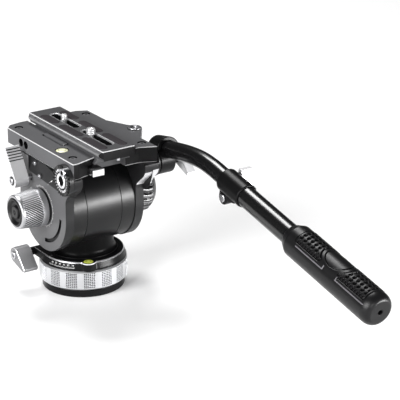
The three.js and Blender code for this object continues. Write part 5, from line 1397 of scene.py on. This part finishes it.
lug_loop = np.concatenate([
    arc(LUG, 6.5, np.pi / 2, 3 * np.pi / 2, 30), [(-9, 0), (-9, 24), (-11.4, 24), (-14.5, 13.4)],
])
collar = assemble("split_clamp_collar", on_bar([
    turned_ring([(8.8, 0), (10.9, 0), (11.6, 0.7), (11.6, 32.2), (10.9, 33), (10.3, 33), (10.3, 25), (8.8, 25)],
                0.3, count=160),
    *prism(lug_loop, -6.5, 11.0, "x", steps=2, holes=[(circle(3.1, LUG), None, 0.2)]),
]), [bracket_metal], crisp=34)
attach(collar, "extension")
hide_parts("clamp_collar")
collar_lever = assemble("collar_wing", on_bar(wing_lever(-0.15, 7, 25, 5, LUG, 11.9, 23.9, corner=1.2, steps=2)),
                        [lever_silver, bright_ring_and_painted_highlight])
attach(collar_lever, "collar_clamp")
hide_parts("collar_lever")
collar_bolt = assemble("collar_bolt_end", on_bar([turned(rounded([
    (0, -8.0), (3.4, -8.0), (4.0, -7.6), (4.0, -6.8), (2.8, -6.8), (2.8, 23.9), (0, 23.9),
], 0.25), "x", LUG, count=48)]), [steel], crisp=35)
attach(collar_bolt, "collar_clamp")
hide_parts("collar_bolt")

# Extension tube: a straight gloss black tube that slides over the arm. Its head sits in the collar, and the grip is
# pushed over its other end.
extension = assemble("extension_tube_gloss", on_bar([
    turned_ring([(8.8, 25.3), (10, 25.3), (10, 220), (8.8, 220)], 0.3, count=128),
]), [gloss_black], crisp=40)
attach(extension, "extension")
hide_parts("extension_tube")

# Grip: a moulded black rubber sleeve with two dimpled pads on top, a bare oval badge place between them, short dashes
# beside the dimples and a thin line down each side. Its end is rounded. Its grooves, dimples and dashes are painted
# near black as shade, and its side lines paler as a highlight.
GRIP_RADIUS, GRIP_BORE = 15.6, 10.3
GRIP_INNER_ROWS = 6
COLUMN_PITCH = 4.08
BADGE_PLACE = 170.3
BADGE_HALF, BADGE_HALF_LENGTH = 11, 14.5
grip_rubber = metal("grip_rubber", (0.004, 0.0039, 0.0043), 0.34, grain=0.15, size=0.35, shine=0.24)
grip_shadow = metal("grip_hollows_painted_shade", (0.002, 0.002, 0.0021), 0.8, grain=0.2, size=0.35, shine=0.03)
side_line_painted_highlight = metal("grip_line_painted_highlight", (0.10, 0.095, 0.105), 0.5, mottle=0.1, grain=0.3, size=0.35)


def soft_step(value, edge, width):
    """0 below the edge, 1 above it, with a smooth 3t^2 - 2t^3 ramp of this width."""
    t = np.clip((value - edge) / width + 0.5, 0, 1)
    return t * t * (3 - 2 * t)


def rounded_box(u, v, half_u, half_v, corner):
    """Signed distance to a rectangle with rounded corners, negative inside."""
    a, b = np.abs(u) - half_u + corner, np.abs(v) - half_v + corner
    return np.hypot(np.maximum(a, 0), np.maximum(b, 0)) + np.minimum(np.maximum(a, b), 0) - corner


def from_top_line(angle):
    """How far round the grip from its top line an angle is, in mm."""
    return wrapped(angle - np.pi / 2) * GRIP_RADIUS


def side_lines(across, height):
    """1 on the L-shaped lines of each side: a run along the bar at 17.2 mm round from the top, and a short hook."""
    off = np.abs(across)
    run = np.minimum(*[rounded_box(off - 17.2, height - middle, 0.45, half, 0.4)
                       for middle, half in ((145.8, 19.4), (203.5, 19.5))])
    hook = np.minimum(*[rounded_box(off - 15.6, height - middle, 2.0, 0.5, 0.4) for middle in (165.2, 184.2)])
    return soft_step(-np.minimum(run, hook), 0, 0.5)


def grip_marks(across, height):
    """The grip's outer wall unrolled, in mm: how far in from the pads' edge and the badge's edge each point is, and
    1 in the round dimples and the short dashes sunk into the pads."""
    oval = np.sqrt((across / BADGE_HALF) ** 2 + ((height - BADGE_PLACE) / BADGE_HALF_LENGTH) ** 2)
    badge = (oval - 1) * BADGE_HALF
    pad = np.minimum(*[rounded_box(across, height - middle, 14.2, half, 3)
                       for middle, half in ((140.5, 18), (202, 19))])
    pad = np.maximum(pad, 3.4 - badge)
    column = (across / COLUMN_PITCH + 0.5) % 1 - 0.5
    front_row = ((height - 126.5) / 5.4 + 0.5) % 1 - 0.5
    rear_row = ((height - 192) / 5.3 + 0.5) % 1 - 0.5
    row = np.where(height < 170, front_row, rear_row)
    inside = (pad < -1.8) & (np.abs(across) < 10.3) & (np.abs(height - 171.5) > 16.4)
    dimple = soft_step(1.62 - np.hypot(column * COLUMN_PITCH, row * 5.35), 0, 0.7) * inside
    dash = ((height / 3.4) % 1 < 0.34) * (np.abs(np.abs(across) - 12.5) < 1.3) * (pad < -0.5)
    return -pad, -badge, dimple, dash


def moulded(angle, height):
    """Radial rise of the grip: the pads stand up inside a groove that follows their edge, dimples and dashes are
    sunk into them, and the badge place is a low oval with its own groove."""
    across = from_top_line(angle)
    pad, badge, dimple, dash = grip_marks(across, height)
    pads_rise = 0.3 * soft_step(pad, 0, 0.5) - 0.8 * soft_step(0.4 - np.abs(pad), 0, 0.3)
    badge_rise = 0.2 * soft_step(badge, 0, 0.6) - 0.6 * soft_step(0.36 - np.abs(badge), 0, 0.3)
    return pads_rise - dimple - 0.5 * dash + badge_rise + 0.35 * side_lines(across, height)


def grip_tint(angle, height):
    """Finish 1, a painted highlight, on the side lines of the sleeve's outer wall, 2, painted shade, in its grooves,
    dimples and dashes, 0 elsewhere.
    """
    across = from_top_line(angle)
    pad, badge, dimple, dash = grip_marks(across, height)
    sunk = (np.abs(pad) < 0.4) | (np.abs(badge) < 0.34) | (dimple > 0.35) | (dash > 0.5)
    outer = (np.arange(height.shape[1]) < len(grip_profile) - GRIP_INNER_ROWS)[None, :]
    return (np.where(side_lines(across, height) > 0.5, 1, np.where(sunk, 2, 0)) * outer).astype(int)


grip_heights = np.linspace(113.8, 222.3, 320)
end_turn = np.linspace(0.1, np.pi / 2, 10)
grip_profile = np.concatenate([
    rounded([(GRIP_BORE, 104.5), (11.6, 104.5), (12.6, 106.5), (15.5, 112.6), (GRIP_RADIUS, 113.6)], 1.2),
    np.stack([np.full(len(grip_heights), GRIP_RADIUS), grip_heights], -1),
    np.stack([GRIP_RADIUS - 5.6 * (1 - np.cos(end_turn)), 222.5 + 9 * np.sin(end_turn)], -1),
    [(3.2, 231.5), (2.6, 231.2), (2.6, 225.5), (GRIP_BORE, 225.5), (GRIP_BORE, 104.7)],
])
grip = assemble("moulded_grip", on_bar([turned(grip_profile, count=276, swell=moulded, tint=grip_tint)]),
                [grip_rubber, side_line_painted_highlight, grip_shadow], crisp=60)
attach(grip, "extension")
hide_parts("grip")
